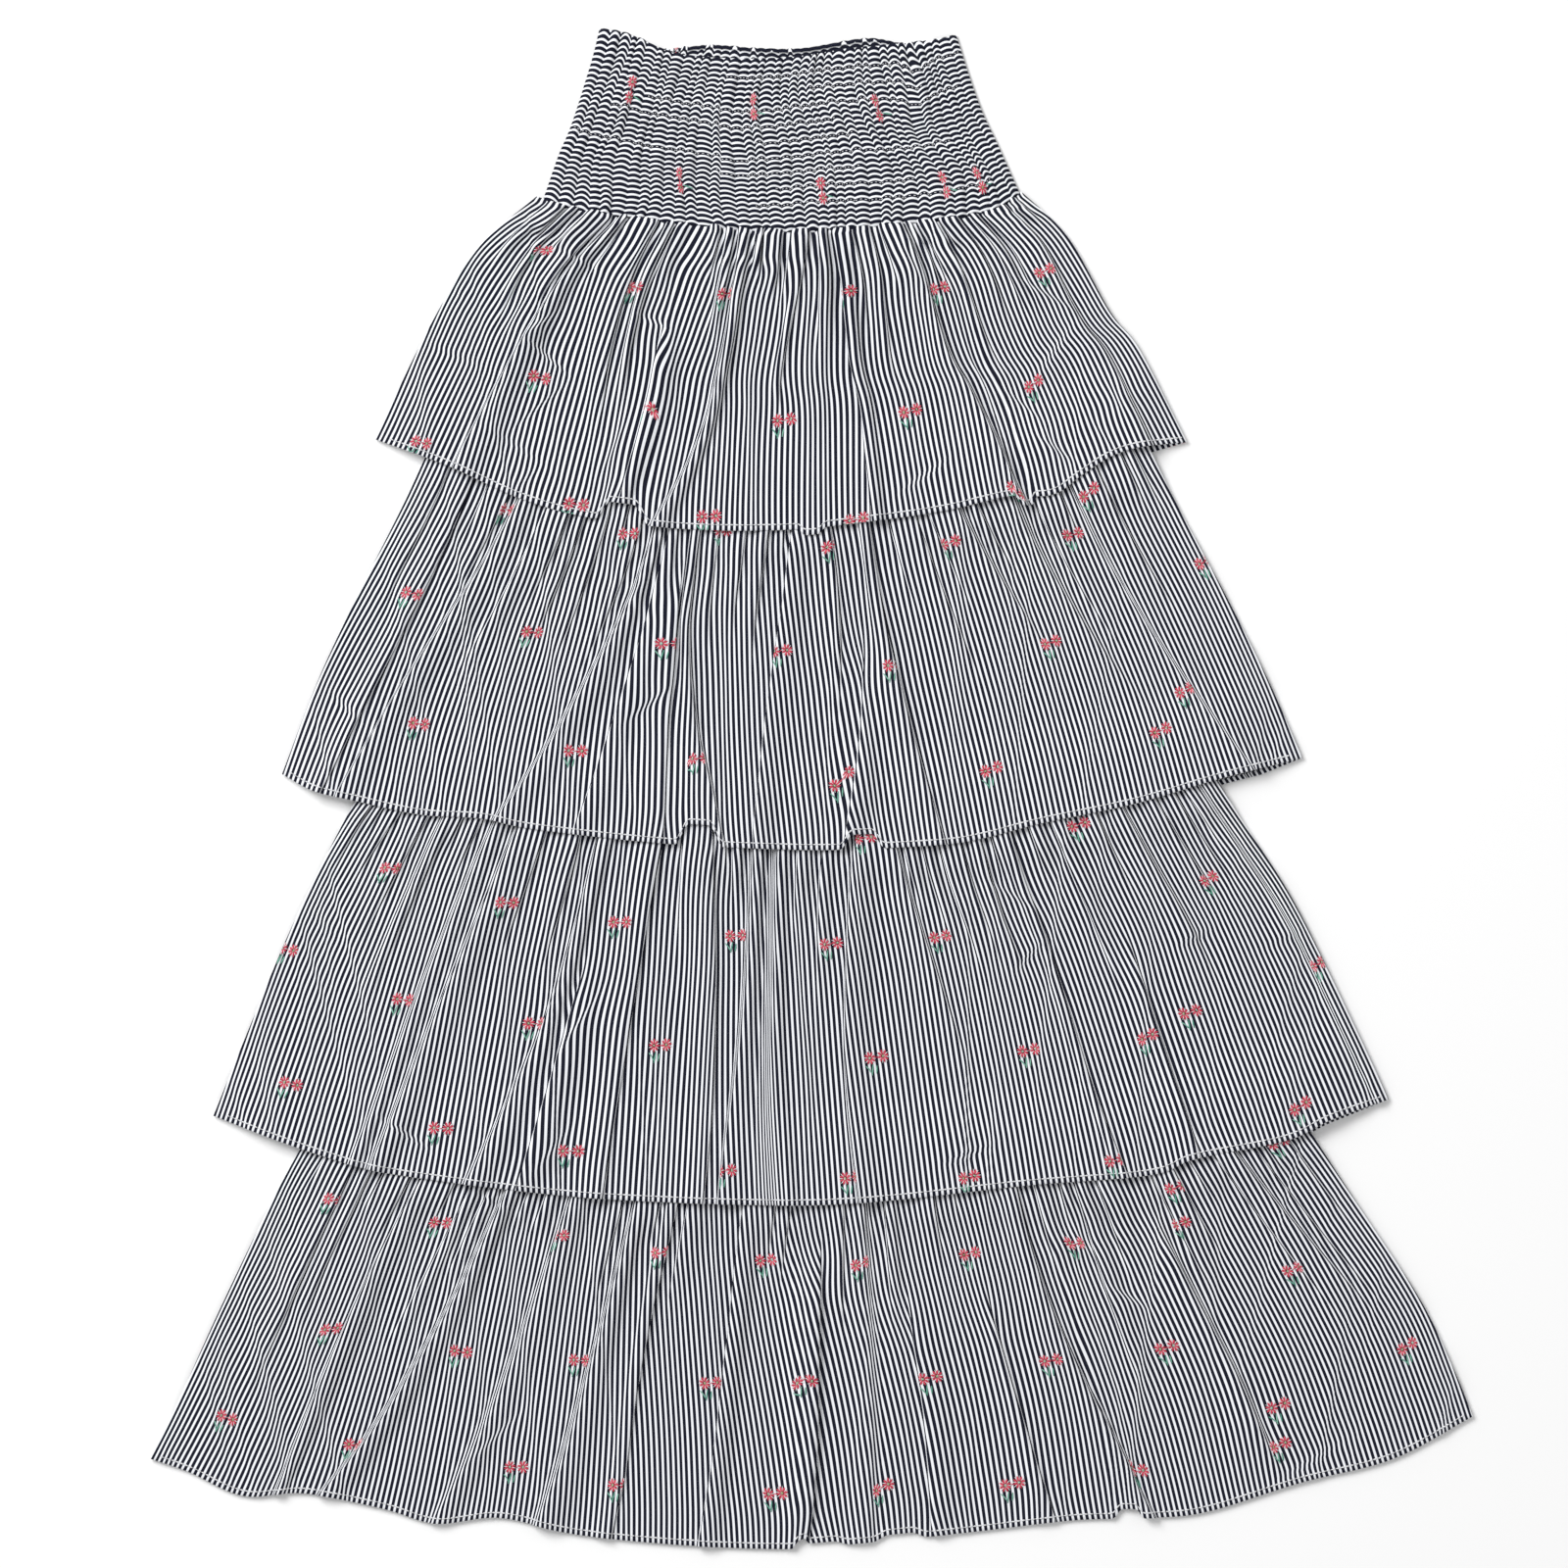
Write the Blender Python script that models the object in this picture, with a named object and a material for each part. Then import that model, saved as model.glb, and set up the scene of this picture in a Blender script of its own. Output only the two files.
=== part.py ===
"""A long tiered skirt laid flat on its back: a shirred band and four gathered tiers.

Each tier is two cloth walls, front and back, lying on each other. A tier's gathered top is
sewn inside the tier above it, so it lies between that tier's two walls. Lengths below are in
millimetres, X to the wearer's left and Y up towards the waist, from the middle of the skirt.
"""

from collections import namedtuple

import bmesh
import bpy
import numpy as np

MM = 0.001

# Cloth walls, measured straight up
FRONT_WALL = 1.3
BACK_WALL = 1.2
SEAM_GAP = 0.3
BAND_GAP = 0.7  # the first tier's edge below the band's, whose curves differ a little

# How the layers lie on each other
TUCK = 30.0  # a tier's top is sewn this far above the hem of the tier above
BACK_TUCKED = BACK_WALL + SEAM_GAP
FRONT_LAID = BACK_WALL + SEAM_GAP
FRONT_TUCKED = 2 * (BACK_WALL + SEAM_GAP)
BACK_LEVEL_FROM, BACK_LEVEL_TO = 40.0, 50.0  # depths between which a back comes down to the floor
FRONT_LEVEL_FROM, FRONT_LEVEL_TO = 44.0, 56.0
HEM_LIFT = 6.2  # how far a hem rides up on the gathers of the next tier
HEM_LIFT_AT_SEAM = 4.4
HEM_LIFT_SEAM, HEM_LIFT_END = 33.0, 58.0  # distances above the hem
CORNER = 0.05  # share of the width over which a lifted hem comes down at its corner
SEAM_CORNER = 14.0  # a tier's seam leaves the hem's curve this near its own corners
DROP_FROM, DROP_FULL, DROP_CORNER = 0.5, 0.8, 0.04  # shares where a back hangs lower to the right

# Gathers
PLEATS = 26  # crest lines across a front
TUCKED_RISE, HEM_LINE_RISE, FREE_RISE = 1.0, 3.0, 4.2
FILL_RISE, FILL_REACH = 2.4, 0.55
LEAST_APART = 0.008  # share of the width between neighbouring crest lines
FADE = 0.2  # share of the length over which a crest rises or dies out

# Rows of a wall, as distances below its top and above its hem
ROWS_BELOW_TOP = (0.0, 15.0, 30.0, 44.0, 56.0)
ROWS_BETWEEN = 3
ROWS_ABOVE_HEM = (58.0, 33.0, 14.0, 0.0)
BACK_ROWS_BELOW_TOP = (0.0, 30.0, 40.0, 50.0)
BACK_ROWS_BETWEEN = 2
BACK_ROWS_ABOVE_HEM = (58.0, 0.0)
BACK_COLUMNS = 22

# Shirred band
PUCKERS = 44
PUCKER_RISE = 1.2
PUCKER_UNEVEN = 0.25  # how much puckers differ in height, and in width as a share of a column
PUCKER_SHIFT, PUCKER_SWELL, PUCKER_DRIFT = 1.7, 2.3, 9.0  # turns of the waves that make them differ
BAND_ROWS = (0.0, 0.05, 0.16, 0.3, 0.44, 0.58, 0.72, 0.86, 0.95, 1.0)

# Cloth as seen from far off, where navy and white stripes run together
FRONT_COTTON = (0.62, 0.64, 0.67)
BACK_COTTON = (0.55, 0.57, 0.61)
BAND_COTTON = (0.60, 0.62, 0.66)
COTTON_ROUGHNESS = 0.85

Fold = namedtuple("Fold", "top mid hem begin reach rise")
Dip = namedtuple("Dip", "x half_width rise")
Tier = namedtuple("Tier", "left right hem dips folds back_drop")

# The band's edges
BAND_TOP = (
    (-130, 465), (-111, 461), (-84, 450), (-54, 447), (-18, 447), (18, 452), (66, 457), (88.5, 461),
)
BAND_BACK_TOP = ((-130, 462), (-93, 453), (-62, 455), (-34, 453), (-6, 453), (34, 459), (62, 455), (88, 458))
BAND_LEFT = ((-130, 465), (-135, 445), (-147, 407), (-155, 388), (-164, 362))
BAND_RIGHT = ((88.5, 461), (97.5, 433), (105, 413), (114, 394), (127, 365))
BAND_SEAM = ((-164, 362), (-147, 356), (-108, 350), (-62, 345), (-14, 342), (46, 346), (105, 353), (127, 365))

# A fold's line crosses its tier at these percentages of the width, at its top, middle and hem.
# It shows between two shares of the tier's length, and rises by so much.
TIERS = (
    Tier(
        left=((-169.5, 361), (-200, 335), (-222, 303), (-243, 264), (-266.7, 214)),
        right=((129, 364), (156, 338), (182, 292), (200, 269), (229, 212.4)),
        hem=(
            (-266.7, 214), (-222, 197.5), (-179, 178), (-136, 166), (-77, 159), (-17, 158.5), (30, 163),
            (80, 170), (120, 179), (147, 180), (165, 192), (182, 203), (200, 209), (229, 212.4),
        ),
        dips=(Dip(-116, 17, 12), Dip(0, 9, -4), Dip(131, 7, -6)),
        folds=(
            Fold(8, 8, 8, 0.0, 0.55, 2.5),
            Fold(18, 13, 9.6, 0.0, 0.9, 3.6),
            Fold(24.5, 25.3, 27, 0.0, 0.8, 2.6),
            Fold(42, 42, 34.5, 0.0, 1.0, 3.6),
            Fold(55, 50.5, 47, 0.0, 0.7, 2.6),
            Fold(61, 61.7, 61, 0.0, 1.0, 3.2),
            Fold(67, 66.5, 66.5, 0.0, 0.6, 2.4),
            Fold(74, 75, 79.5, 0.0, 1.0, 4.0),
            Fold(89, 88.8, 90, 0.0, 0.45, 2.6),
        ),
        back_drop=4.0,
    ),
    Tier(
        left=((-225, 228), (-247, 179), (-276, 121), (-301, 68), (-323.7, 9)),
        right=((193, 236), (222, 176), (253, 118), (279, 66), (299.7, 19)),
        hem=(
            (-323.7, 9), (-305, -1), (-280, -7), (-240, -15.5), (-202, -18), (-170, -24.5), (-93, -33),
            (-27, -36.5), (18, -37), (79, -34), (105, -30), (140, -21), (197, -9), (250, 6.5), (299.7, 19),
        ),
        dips=(Dip(-69, 15, 13), Dip(31, 14, 9)),
        folds=(
            Fold(6, 6, 4, 0.0, 0.9, 2.6),
            Fold(15.5, 10.2, 5.5, 0.0, 1.0, 3.4),
            Fold(25.5, 23.5, 18, 0.0, 0.55, 2.4),
            Fold(34, 29, 21, 0.0, 0.95, 3.4),
            Fold(35.5, 32.7, 29, 0.1, 1.0, 3.0),
            Fold(36.6, 36.4, 37.3, 0.3, 1.0, 3.0),
            Fold(38, 38.2, 43.5, 0.1, 1.0, 3.6),
            Fold(52, 48.5, 46, 0.0, 1.0, 3.0),
            Fold(54.5, 55.6, 52, 0.0, 0.7, 2.6),
            Fold(58.4, 58.8, 55, 0.5, 1.0, 3.0),
            Fold(59.6, 61.3, 64.5, 0.0, 1.0, 4.0),
            Fold(70.5, 78, 83, 0.0, 0.6, 2.8),
            Fold(79, 83.5, 92, 0.0, 0.8, 3.4),
        ),
        back_drop=4.0,
    ),
    Tier(
        left=((-262.5, 21), (-290, -28), (-318, -85), (-342, -142), (-365.7, -200)),
        right=((231, 32), (262, -18), (295, -70), (332, -146), (352.5, -190)),
        hem=(
            (-365.7, -200), (-332, -213), (-300, -224), (-264, -234), (-193, -244), (-120, -251), (-16, -254.5),
            (48, -251.5), (130, -242.5), (207, -236), (235, -226), (290, -215), (318, -202), (352.5, -190),
        ),
        dips=(),
        folds=(
            Fold(6, 2.5, 1, 0.0, 0.35, 2.2),
            Fold(11, 9.3, 7, 0.0, 0.7, 2.8),
            Fold(15, 12.5, 11, 0.0, 0.3, 2.2),
            Fold(20, 17, 13.8, 0.0, 1.0, 3.6),
            Fold(25.5, 24.4, 19, 0.0, 0.5, 2.4),
            Fold(29, 27, 22, 0.0, 0.9, 3.0),
            Fold(31.5, 29, 26.2, 0.5, 1.0, 4.0),
            Fold(35, 34, 33, 0.0, 1.0, 3.2),
            Fold(40, 42, 41.5, 0.0, 1.0, 3.0),
            Fold(46.5, 46, 44, 0.0, 1.0, 3.2),
            Fold(49.5, 48, 48.6, 0.0, 1.0, 2.8),
            Fold(59, 55, 55, 0.0, 0.9, 3.4),
            Fold(61.5, 64, 67, 0.0, 0.75, 3.0),
            Fold(75, 75.2, 77, 0.0, 1.0, 2.8),
            Fold(80.5, 81, 81.5, 0.0, 0.6, 3.0),
            Fold(83.5, 83, 83.2, 0.5, 1.0, 2.6),
            Fold(88, 89.5, 90, 0.0, 0.65, 3.0),
            Fold(96, 97.5, 98, 0.0, 0.3, 2.0),
        ),
        back_drop=2.0,
    ),
    Tier(
        left=((-296, -191), (-328, -249), (-362, -319), (-390, -381), (-404.1, -410)),
        right=((288, -184), (330, -249), (372, -313), (393, -357), (404.1, -384)),
        hem=(
            (-404.1, -410), (-381, -418), (-348, -432.5), (-311, -431), (-262, -440.5), (-230, -449.5),
            (-191, -446), (-145, -456), (-81, -462.5), (-13.5, -465), (35, -461), (99, -454.5), (160, -447.5),
            (208, -446), (243, -442), (299, -424.5), (355.5, -410), (404.1, -384),
        ),
        dips=(Dip(-4, 9, 5), Dip(194, 10, 6)),
        folds=(
            Fold(3, 1.8, 1.2, 0.0, 0.25, 2.0),
            Fold(5, 5, 4.5, 0.0, 0.8, 2.8),
            Fold(13.5, 10.8, 9.8, 0.0, 1.0, 3.4),
            Fold(21.5, 18.3, 12.9, 0.0, 1.0, 3.8),
            Fold(34, 32, 29.6, 0.0, 1.0, 3.8),
            Fold(37.5, 35.5, 34.8, 0.0, 1.0, 3.0),
            Fold(45, 43, 41.5, 0.0, 1.0, 3.2),
            Fold(49, 46.4, 45, 0.0, 0.35, 2.4),
            Fold(53, 50.5, 48.7, 0.0, 1.0, 4.0),
            Fold(60, 59, 59, 0.45, 1.0, 3.0),
            Fold(66, 65.5, 67.6, 0.45, 1.0, 3.0),
            Fold(70.5, 70.6, 75, 0.0, 1.0, 4.0),
            Fold(77, 76.4, 77.5, 0.0, 0.75, 3.0),
            Fold(82, 83, 85, 0.3, 0.9, 3.8),
            Fold(85.5, 87, 88, 0.0, 0.4, 2.8),
            Fold(91, 95, 98.5, 0.0, 0.7, 3.2),
        ),
        back_drop=0.0,
    ),
)


def smooth_line(points, steps=10):
    """A function of the share of the length, along a smooth curve through the points."""
    known = np.array(points, float)
    known = np.vstack([2 * known[0] - known[1], known, 2 * known[-1] - known[-2]])
    t = np.linspace(0, 1, steps, endpoint=False)[:, None]
    drawn = []
    for before, start, end, after in zip(known, known[1:], known[2:], known[3:]):
        curve = 2 * start + (end - before) * t
        curve = curve + (2 * before - 5 * start + 4 * end - after) * t**2
        curve = curve + (3 * start - before - 3 * end + after) * t**3
        drawn.append(curve / 2)
    drawn = np.vstack(drawn + [known[-2:-1]])
    along = np.concatenate([[0], np.cumsum(np.linalg.norm(np.diff(drawn, axis=0), axis=1))])

    def at(share):
        share = np.asarray(share, float) * along[-1]
        return np.stack([np.interp(share, along, drawn[:, i]) for i in (0, 1)], axis=-1)

    return at


def patch(top, hem, left, right):
    """A function of the shares across and down that fills the area inside four edge curves."""

    def at(across, down):
        a, d = across[..., None], down[..., None]
        corners = (1 - a) * (1 - d) * top(0.0) + a * (1 - d) * top(1.0)
        corners = corners + (1 - a) * d * hem(0.0) + a * d * hem(1.0)
        return (1 - d) * top(across) + d * hem(across) + (1 - a) * left(down) + a * right(down) - corners

    return at


def dipped(hem, dips, drop=0.0):
    """The hem curve with its notches, and the back's extra length towards the right side."""
    base = smooth_line(hem)

    def at(share):
        places = base(share)
        share = np.asarray(share, float)
        for dip in dips:
            near = np.clip(np.abs(places[..., 0] - dip.x) / dip.half_width, 0, 1)
            places[..., 1] += dip.rise * (1 + np.cos(np.pi * near)) / 2
        lower = np.interp(share, (DROP_FROM, DROP_FULL, 1 - DROP_CORNER, 1), (0, 1, 1, 0))
        places[..., 1] -= drop * lower
        return places

    return at


def top_edge(number):
    """A tier's sewn edge: the band's seam, or the hem above moved up by the tuck."""
    tier = TIERS[number]
    start, end = tier.left[0], tier.right[0]
    if number == 0:
        inside = [(x, y - BAND_GAP) for x, y in BAND_SEAM[1:-1]]
    else:
        first, last = start[0] + SEAM_CORNER, end[0] - SEAM_CORNER
        inside = [(x, y + TUCK) for x, y in TIERS[number - 1].hem if first < x < last]
    return smooth_line([start, *inside, end])


def row_shares(length, below_top, between, above_hem):
    """The share down of each row, for columns of these lengths."""
    rows = [below / length for below in below_top]
    last, first = rows[-1], 1 - above_hem[0] / length
    rows += [last + (first - last) * (k + 1) / (between + 1) for k in range(between)]
    rows += [1 - above / length for above in above_hem]
    return np.array(rows)


def crest_lines(folds):
    """The tier's folds, with plain gathers added in the widest spaces at the seam."""
    lines = list(folds)
    while len(lines) < PLEATS:
        edges = [Fold(0, 0, 0, 0, 0, 0), *lines, Fold(100, 100, 100, 0, 0, 0)]
        spaces = [after.top - before.top for before, after in zip(edges, edges[1:])]
        widest = int(np.argmax(spaces))
        before, after = edges[widest], edges[widest + 1]
        middle = [(getattr(before, name) + getattr(after, name)) / 2 for name in ("top", "mid", "hem")]
        lines.insert(widest, Fold(*middle, 0.0, FILL_REACH, FILL_RISE))
    return lines


def crest_places(lines, down):
    """Where each line crosses a row, as shares of the width, kept in order and apart."""
    top, mid, hem = (np.array([getattr(line, name) for line in lines]) / 100 for name in ("top", "mid", "hem"))
    places = top * (1 - down) * (1 - 2 * down) + mid * 4 * down * (1 - down) + hem * down * (2 * down - 1)
    for k in range(len(places)):
        lowest = places[k - 1] + LEAST_APART if k else LEAST_APART
        places[k] = max(places[k], lowest)
    for k in reversed(range(len(places))):
        highest = places[k + 1] - LEAST_APART if k + 1 < len(places) else 1 - LEAST_APART
        places[k] = min(places[k], highest)
    return places


def crest_heights(lines, down):
    """How high each line stands at a row, where it begins and dies out little by little."""
    begin, reach, rise = (np.array([getattr(line, name) for line in lines]) for name in ("begin", "reach", "rise"))
    fade_in = np.where(begin > 0, np.clip((down - begin) / FADE + 0.5, 0, 1), 1)
    fade_out = np.where(reach < 1, np.clip((reach - down) / FADE + 0.5, 0, 1), 1)
    return rise * fade_in * fade_out


def closed_wall(name, upper, lower, colour):
    """A wall between two grids of the same points, as one closed body."""
    rows, columns = upper.shape[:2]
    mesh = bpy.data.meshes.new(name)
    shape = bmesh.new()
    grids = []
    for grid in (upper, lower):
        grids.append([[shape.verts.new(place * MM) for place in row] for row in grid])
    top, bottom = grids
    for i in range(rows - 1):
        for j in range(columns - 1):
            shape.faces.new((top[i][j], top[i + 1][j], top[i + 1][j + 1], top[i][j + 1]))
            shape.faces.new((bottom[i][j], bottom[i][j + 1], bottom[i + 1][j + 1], bottom[i + 1][j]))
    for first, second in rim(rows, columns):
        shape.faces.new((top[first[0]][first[1]], top[second[0]][second[1]],
                         bottom[second[0]][second[1]], bottom[first[0]][first[1]]))
    finish(name, mesh, shape, colour)


def rim(rows, columns):
    """The grid's outline as pairs of neighbouring places, so that side faces look outwards."""
    path = [(0, j) for j in range(columns)]
    path += [(i, columns - 1) for i in range(1, rows)]
    path += [(rows - 1, j) for j in reversed(range(columns - 1))]
    path += [(i, 0) for i in reversed(range(1, rows - 1))]
    return list(zip(path, path[1:] + path[:1]))


def finish(name, mesh, shape, colour):
    bmesh.ops.recalc_face_normals(shape, faces=shape.faces)
    bmesh.ops.triangulate(shape, faces=shape.faces)
    shape.to_mesh(mesh)
    shape.free()
    mesh.shade_smooth()
    material = bpy.data.materials.new(name + "_cotton")
    material.use_nodes = True
    surface = material.node_tree.nodes["Principled BSDF"]
    surface.inputs["Base Color"].default_value = (*colour, 1)
    surface.inputs["Roughness"].default_value = COTTON_ROUGHNESS
    surface.inputs["Metallic"].default_value = 0.0
    mesh.materials.append(material)
    piece = bpy.data.objects.new(name, mesh)
    bpy.context.scene.collection.objects.link(piece)


def tier_area(number, drop):
    tier = TIERS[number]
    top = top_edge(number)
    hem = dipped(tier.hem, tier.dips, drop)
    return patch(top, hem, smooth_line(tier.left), smooth_line(tier.right)), top, hem


def make_front(number):
    """A tier's front: its crest lines and the valleys between them are the wall's columns."""
    tier = TIERS[number]
    tucked, last = number > 0, number == len(TIERS) - 1
    area, top, hem = tier_area(number, 0.0)
    lines = crest_lines(tier.folds)
    columns = 2 * len(lines) + 1
    even = np.linspace(0, 1, columns)
    lengths = np.linalg.norm(hem(even) - top(even), axis=-1)
    rows = row_shares(lengths, ROWS_BELOW_TOP, ROWS_BETWEEN, ROWS_ABOVE_HEM)
    upper = np.zeros((len(rows), columns, 3))
    for i, down in enumerate(rows):
        middle = float(down.mean())
        crests = crest_places(lines, middle)
        across = np.zeros(columns)
        across[1::2] = crests
        across[2:-1:2] = (crests[1:] + crests[:-1]) / 2
        across[-1] = 1
        depth, height = down * lengths, (1 - down) * lengths
        limit = np.interp(depth, (0, TUCK, 2 * TUCK), (TUCKED_RISE, HEM_LINE_RISE, FREE_RISE))
        if not tucked:
            limit = np.interp(depth, (0, TUCK), (HEM_LINE_RISE, FREE_RISE))
        level = np.full(columns, FRONT_LAID)
        if tucked:
            level += (FRONT_TUCKED - FRONT_LAID) * np.interp(depth, (FRONT_LEVEL_FROM, FRONT_LEVEL_TO), (1, 0))
        if not last:
            corner = np.interp(across, (0, CORNER, 1 - CORNER, 1), (0, 1, 1, 0))
            lift = np.interp(height, (0, HEM_LIFT_SEAM, HEM_LIFT_END), (HEM_LIFT, HEM_LIFT_AT_SEAM, 0))
            level += lift * corner
        level[1::2] += np.minimum(crest_heights(lines, middle), limit[1::2])
        upper[i, :, :2] = area(across, down)
        upper[i, :, 2] = level
    lower = upper.copy()
    upper[..., 2] += FRONT_WALL
    closed_wall(f"tier_{number + 1}_front", upper, lower, FRONT_COTTON)


def make_back(number):
    """A tier's back: flat on the floor, and raised where it is tucked inside the tier above."""
    tier = TIERS[number]
    area, top, hem = tier_area(number, tier.back_drop)
    across = np.linspace(0, 1, BACK_COLUMNS)
    lengths = np.linalg.norm(hem(across) - top(across), axis=-1)
    tucked = number > 0
    below_top = BACK_ROWS_BELOW_TOP if tucked else (0.0,)
    rows = row_shares(lengths, below_top, BACK_ROWS_BETWEEN, BACK_ROWS_ABOVE_HEM)
    upper = np.zeros((len(rows), BACK_COLUMNS, 3))
    for i, down in enumerate(rows):
        upper[i, :, :2] = area(across, down)
        if tucked:
            upper[i, :, 2] = BACK_TUCKED * np.interp(down * lengths, (BACK_LEVEL_FROM, BACK_LEVEL_TO), (1, 0))
    lower = upper.copy()
    upper[..., 2] += BACK_WALL
    closed_wall(f"tier_{number + 1}_back", upper, lower, BACK_COTTON)


def make_band_front():
    """The shirred band: puckers raised over a plain inside, deepest between the elastic rows."""
    area = patch(smooth_line(BAND_TOP), smooth_line(BAND_SEAM), smooth_line(BAND_LEFT), smooth_line(BAND_RIGHT))
    columns = 2 * PUCKERS + 1
    across = np.linspace(0, 1, columns)
    inner = np.arange(1, columns - 1)
    across[1:-1] += PUCKER_UNEVEN / columns * np.sin(inner * PUCKER_SHIFT)
    upper = np.zeros((len(BAND_ROWS), columns, 3))
    for i, down in enumerate(BAND_ROWS):
        upper[i, :, :2] = area(across, np.full(columns, down))
        swell = np.sin(np.arange(columns) * PUCKER_SWELL + down * PUCKER_DRIFT)
        rise = PUCKER_RISE * (1 - PUCKER_UNEVEN + PUCKER_UNEVEN * swell)
        upper[i, :, 2] = FRONT_LAID + FRONT_WALL
        upper[i, 1::2, 2] += rise[1::2]
    lower = upper.copy()
    lower[..., 2] = FRONT_LAID
    band_wall("yoke_front", upper, lower)


def make_band_back():
    area = patch(
        smooth_line(BAND_BACK_TOP), smooth_line(BAND_SEAM),
        smooth_line((BAND_BACK_TOP[0], *BAND_LEFT[1:])), smooth_line((BAND_BACK_TOP[-1], *BAND_RIGHT[1:])),
    )
    across = np.linspace(0, 1, BACK_COLUMNS)
    upper = np.zeros((2, len(across), 3))
    for i, down in enumerate((0.0, 1.0)):
        upper[i, :, :2] = area(across, np.full(len(across), down))
    lower = upper.copy()
    upper[..., 2] += BACK_WALL
    band_wall("yoke_back", upper, lower)


def band_wall(name, upper, lower):
    """A wall with a flat underside in one face, which needs only the grid's outline."""
    rows, columns = upper.shape[:2]
    mesh = bpy.data.meshes.new(name)
    shape = bmesh.new()
    top = [[shape.verts.new(place * MM) for place in row] for row in upper]
    outline = rim(rows, columns)
    under = {place: shape.verts.new(lower[place] * MM) for place, _ in outline}
    for i in range(rows - 1):
        for j in range(columns - 1):
            shape.faces.new((top[i][j], top[i + 1][j], top[i + 1][j + 1], top[i][j + 1]))
    for first, second in outline:
        shape.faces.new((top[first[0]][first[1]], top[second[0]][second[1]], under[second], under[first]))
    shape.faces.new([under[place] for place, _ in outline])
    finish(name, mesh, shape, BAND_COTTON)


for existing in list(bpy.data.objects):
    bpy.data.objects.remove(existing)

make_band_front()
make_band_back()
for tier_number in range(len(TIERS)):
    make_front(tier_number)
    make_back(tier_number)
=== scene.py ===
from collections import namedtuple

import bpy
import numpy as np
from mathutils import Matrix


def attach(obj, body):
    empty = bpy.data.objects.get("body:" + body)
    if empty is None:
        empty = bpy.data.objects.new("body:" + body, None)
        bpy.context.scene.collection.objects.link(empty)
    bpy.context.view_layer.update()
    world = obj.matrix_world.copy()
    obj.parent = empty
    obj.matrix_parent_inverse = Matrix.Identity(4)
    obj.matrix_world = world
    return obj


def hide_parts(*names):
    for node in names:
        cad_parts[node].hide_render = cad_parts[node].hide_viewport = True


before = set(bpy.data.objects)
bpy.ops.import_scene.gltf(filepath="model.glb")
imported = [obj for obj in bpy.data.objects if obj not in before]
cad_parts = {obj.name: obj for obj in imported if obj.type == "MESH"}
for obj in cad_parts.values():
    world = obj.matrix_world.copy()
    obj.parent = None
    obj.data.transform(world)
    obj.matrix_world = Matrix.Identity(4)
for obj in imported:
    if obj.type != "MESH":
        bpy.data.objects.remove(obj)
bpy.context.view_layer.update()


# Camera, floor and light. The skirt lies on a pale floor and is seen from straight above,
# from far off, in soft light that comes a little from the upper left.
MM = 0.001
view_from = (-17.0, 3.0, 6000.0)
view_across = 960.0
film_width = 36.0

scene = bpy.context.scene
camera_data = bpy.data.cameras.new("camera")
camera_data.sensor_width = film_width
camera_data.lens = film_width * view_from[2] / view_across
camera_data.clip_end = 100.0
camera = bpy.data.objects.new("camera", camera_data)
camera.location = [place * MM for place in view_from]
scene.collection.objects.link(camera)
scene.camera = camera

floor_reach, floor_level = 6.0, -0.0004
floor_corners = ((-1, -1), (1, -1), (1, 1), (-1, 1))
floor_mesh = bpy.data.meshes.new("floor")
floor_mesh.from_pydata(
    [(floor_reach * x, floor_reach * y, floor_level) for x, y in floor_corners], [], [(0, 1, 2, 3)]
)
floor_paper = bpy.data.materials.new("floor_paper")
floor_paper.use_nodes = True
paper_surface = floor_paper.node_tree.nodes["Principled BSDF"]
paper_surface.inputs["Base Color"].default_value = (0.97, 0.97, 0.97, 1)
paper_surface.inputs["Roughness"].default_value = 0.9
floor_mesh.materials.append(floor_paper)
floor = bpy.data.objects.new("floor", floor_mesh)
scene.collection.objects.link(floor)

sky = bpy.data.worlds.new("sky")
sky.use_nodes = True
sky_light = sky.node_tree.nodes["Background"]
sky_light.inputs["Color"].default_value = (1.0, 1.0, 1.0, 1)
sky_light.inputs["Strength"].default_value = 0.56
scene.world = sky
scene.view_settings.view_transform = "Standard"

lamp_data = bpy.data.lights.new("window", "AREA")
lamp_data.size = 2.5
lamp_data.energy = 205.0
lamp = bpy.data.objects.new("window", lamp_data)
lamp.location = (-2.6, 2.4, 3.6)
lamp.rotation_euler = (-0.55, -0.62, 0.0)
scene.collection.objects.link(lamp)


# Band, front. Striped poplin turned so that its stripes run round the waist, shirred on rows
# of elastic thread into narrow puckers, each bowing the stripes up between its two valleys.
band_top = (
    (-130, 465), (-111, 461), (-84, 450), (-54, 447), (-18, 447), (18, 452), (66, 457), (88.5, 461),
)
band_back_top = (
    (-130, 462), (-93, 453), (-62, 455), (-34, 453), (-6, 453), (34, 459), (62, 455), (88, 458),
)
band_left = ((-130, 465), (-135, 445), (-147, 407), (-155, 388), (-164, 362))
band_right = ((88.5, 461), (97.5, 433), (105, 413), (114, 394), (127, 365))
band_seam = (
    (-164, 362), (-147, 356), (-108, 350), (-62, 345), (-14, 342), (46, 346), (105, 353), (127, 365),
)

Cloth = namedtuple("Cloth", "places across down")


def running(steps):
    """The running sum of steps, from nothing."""
    return np.concatenate([[0], np.cumsum(steps)])


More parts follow.
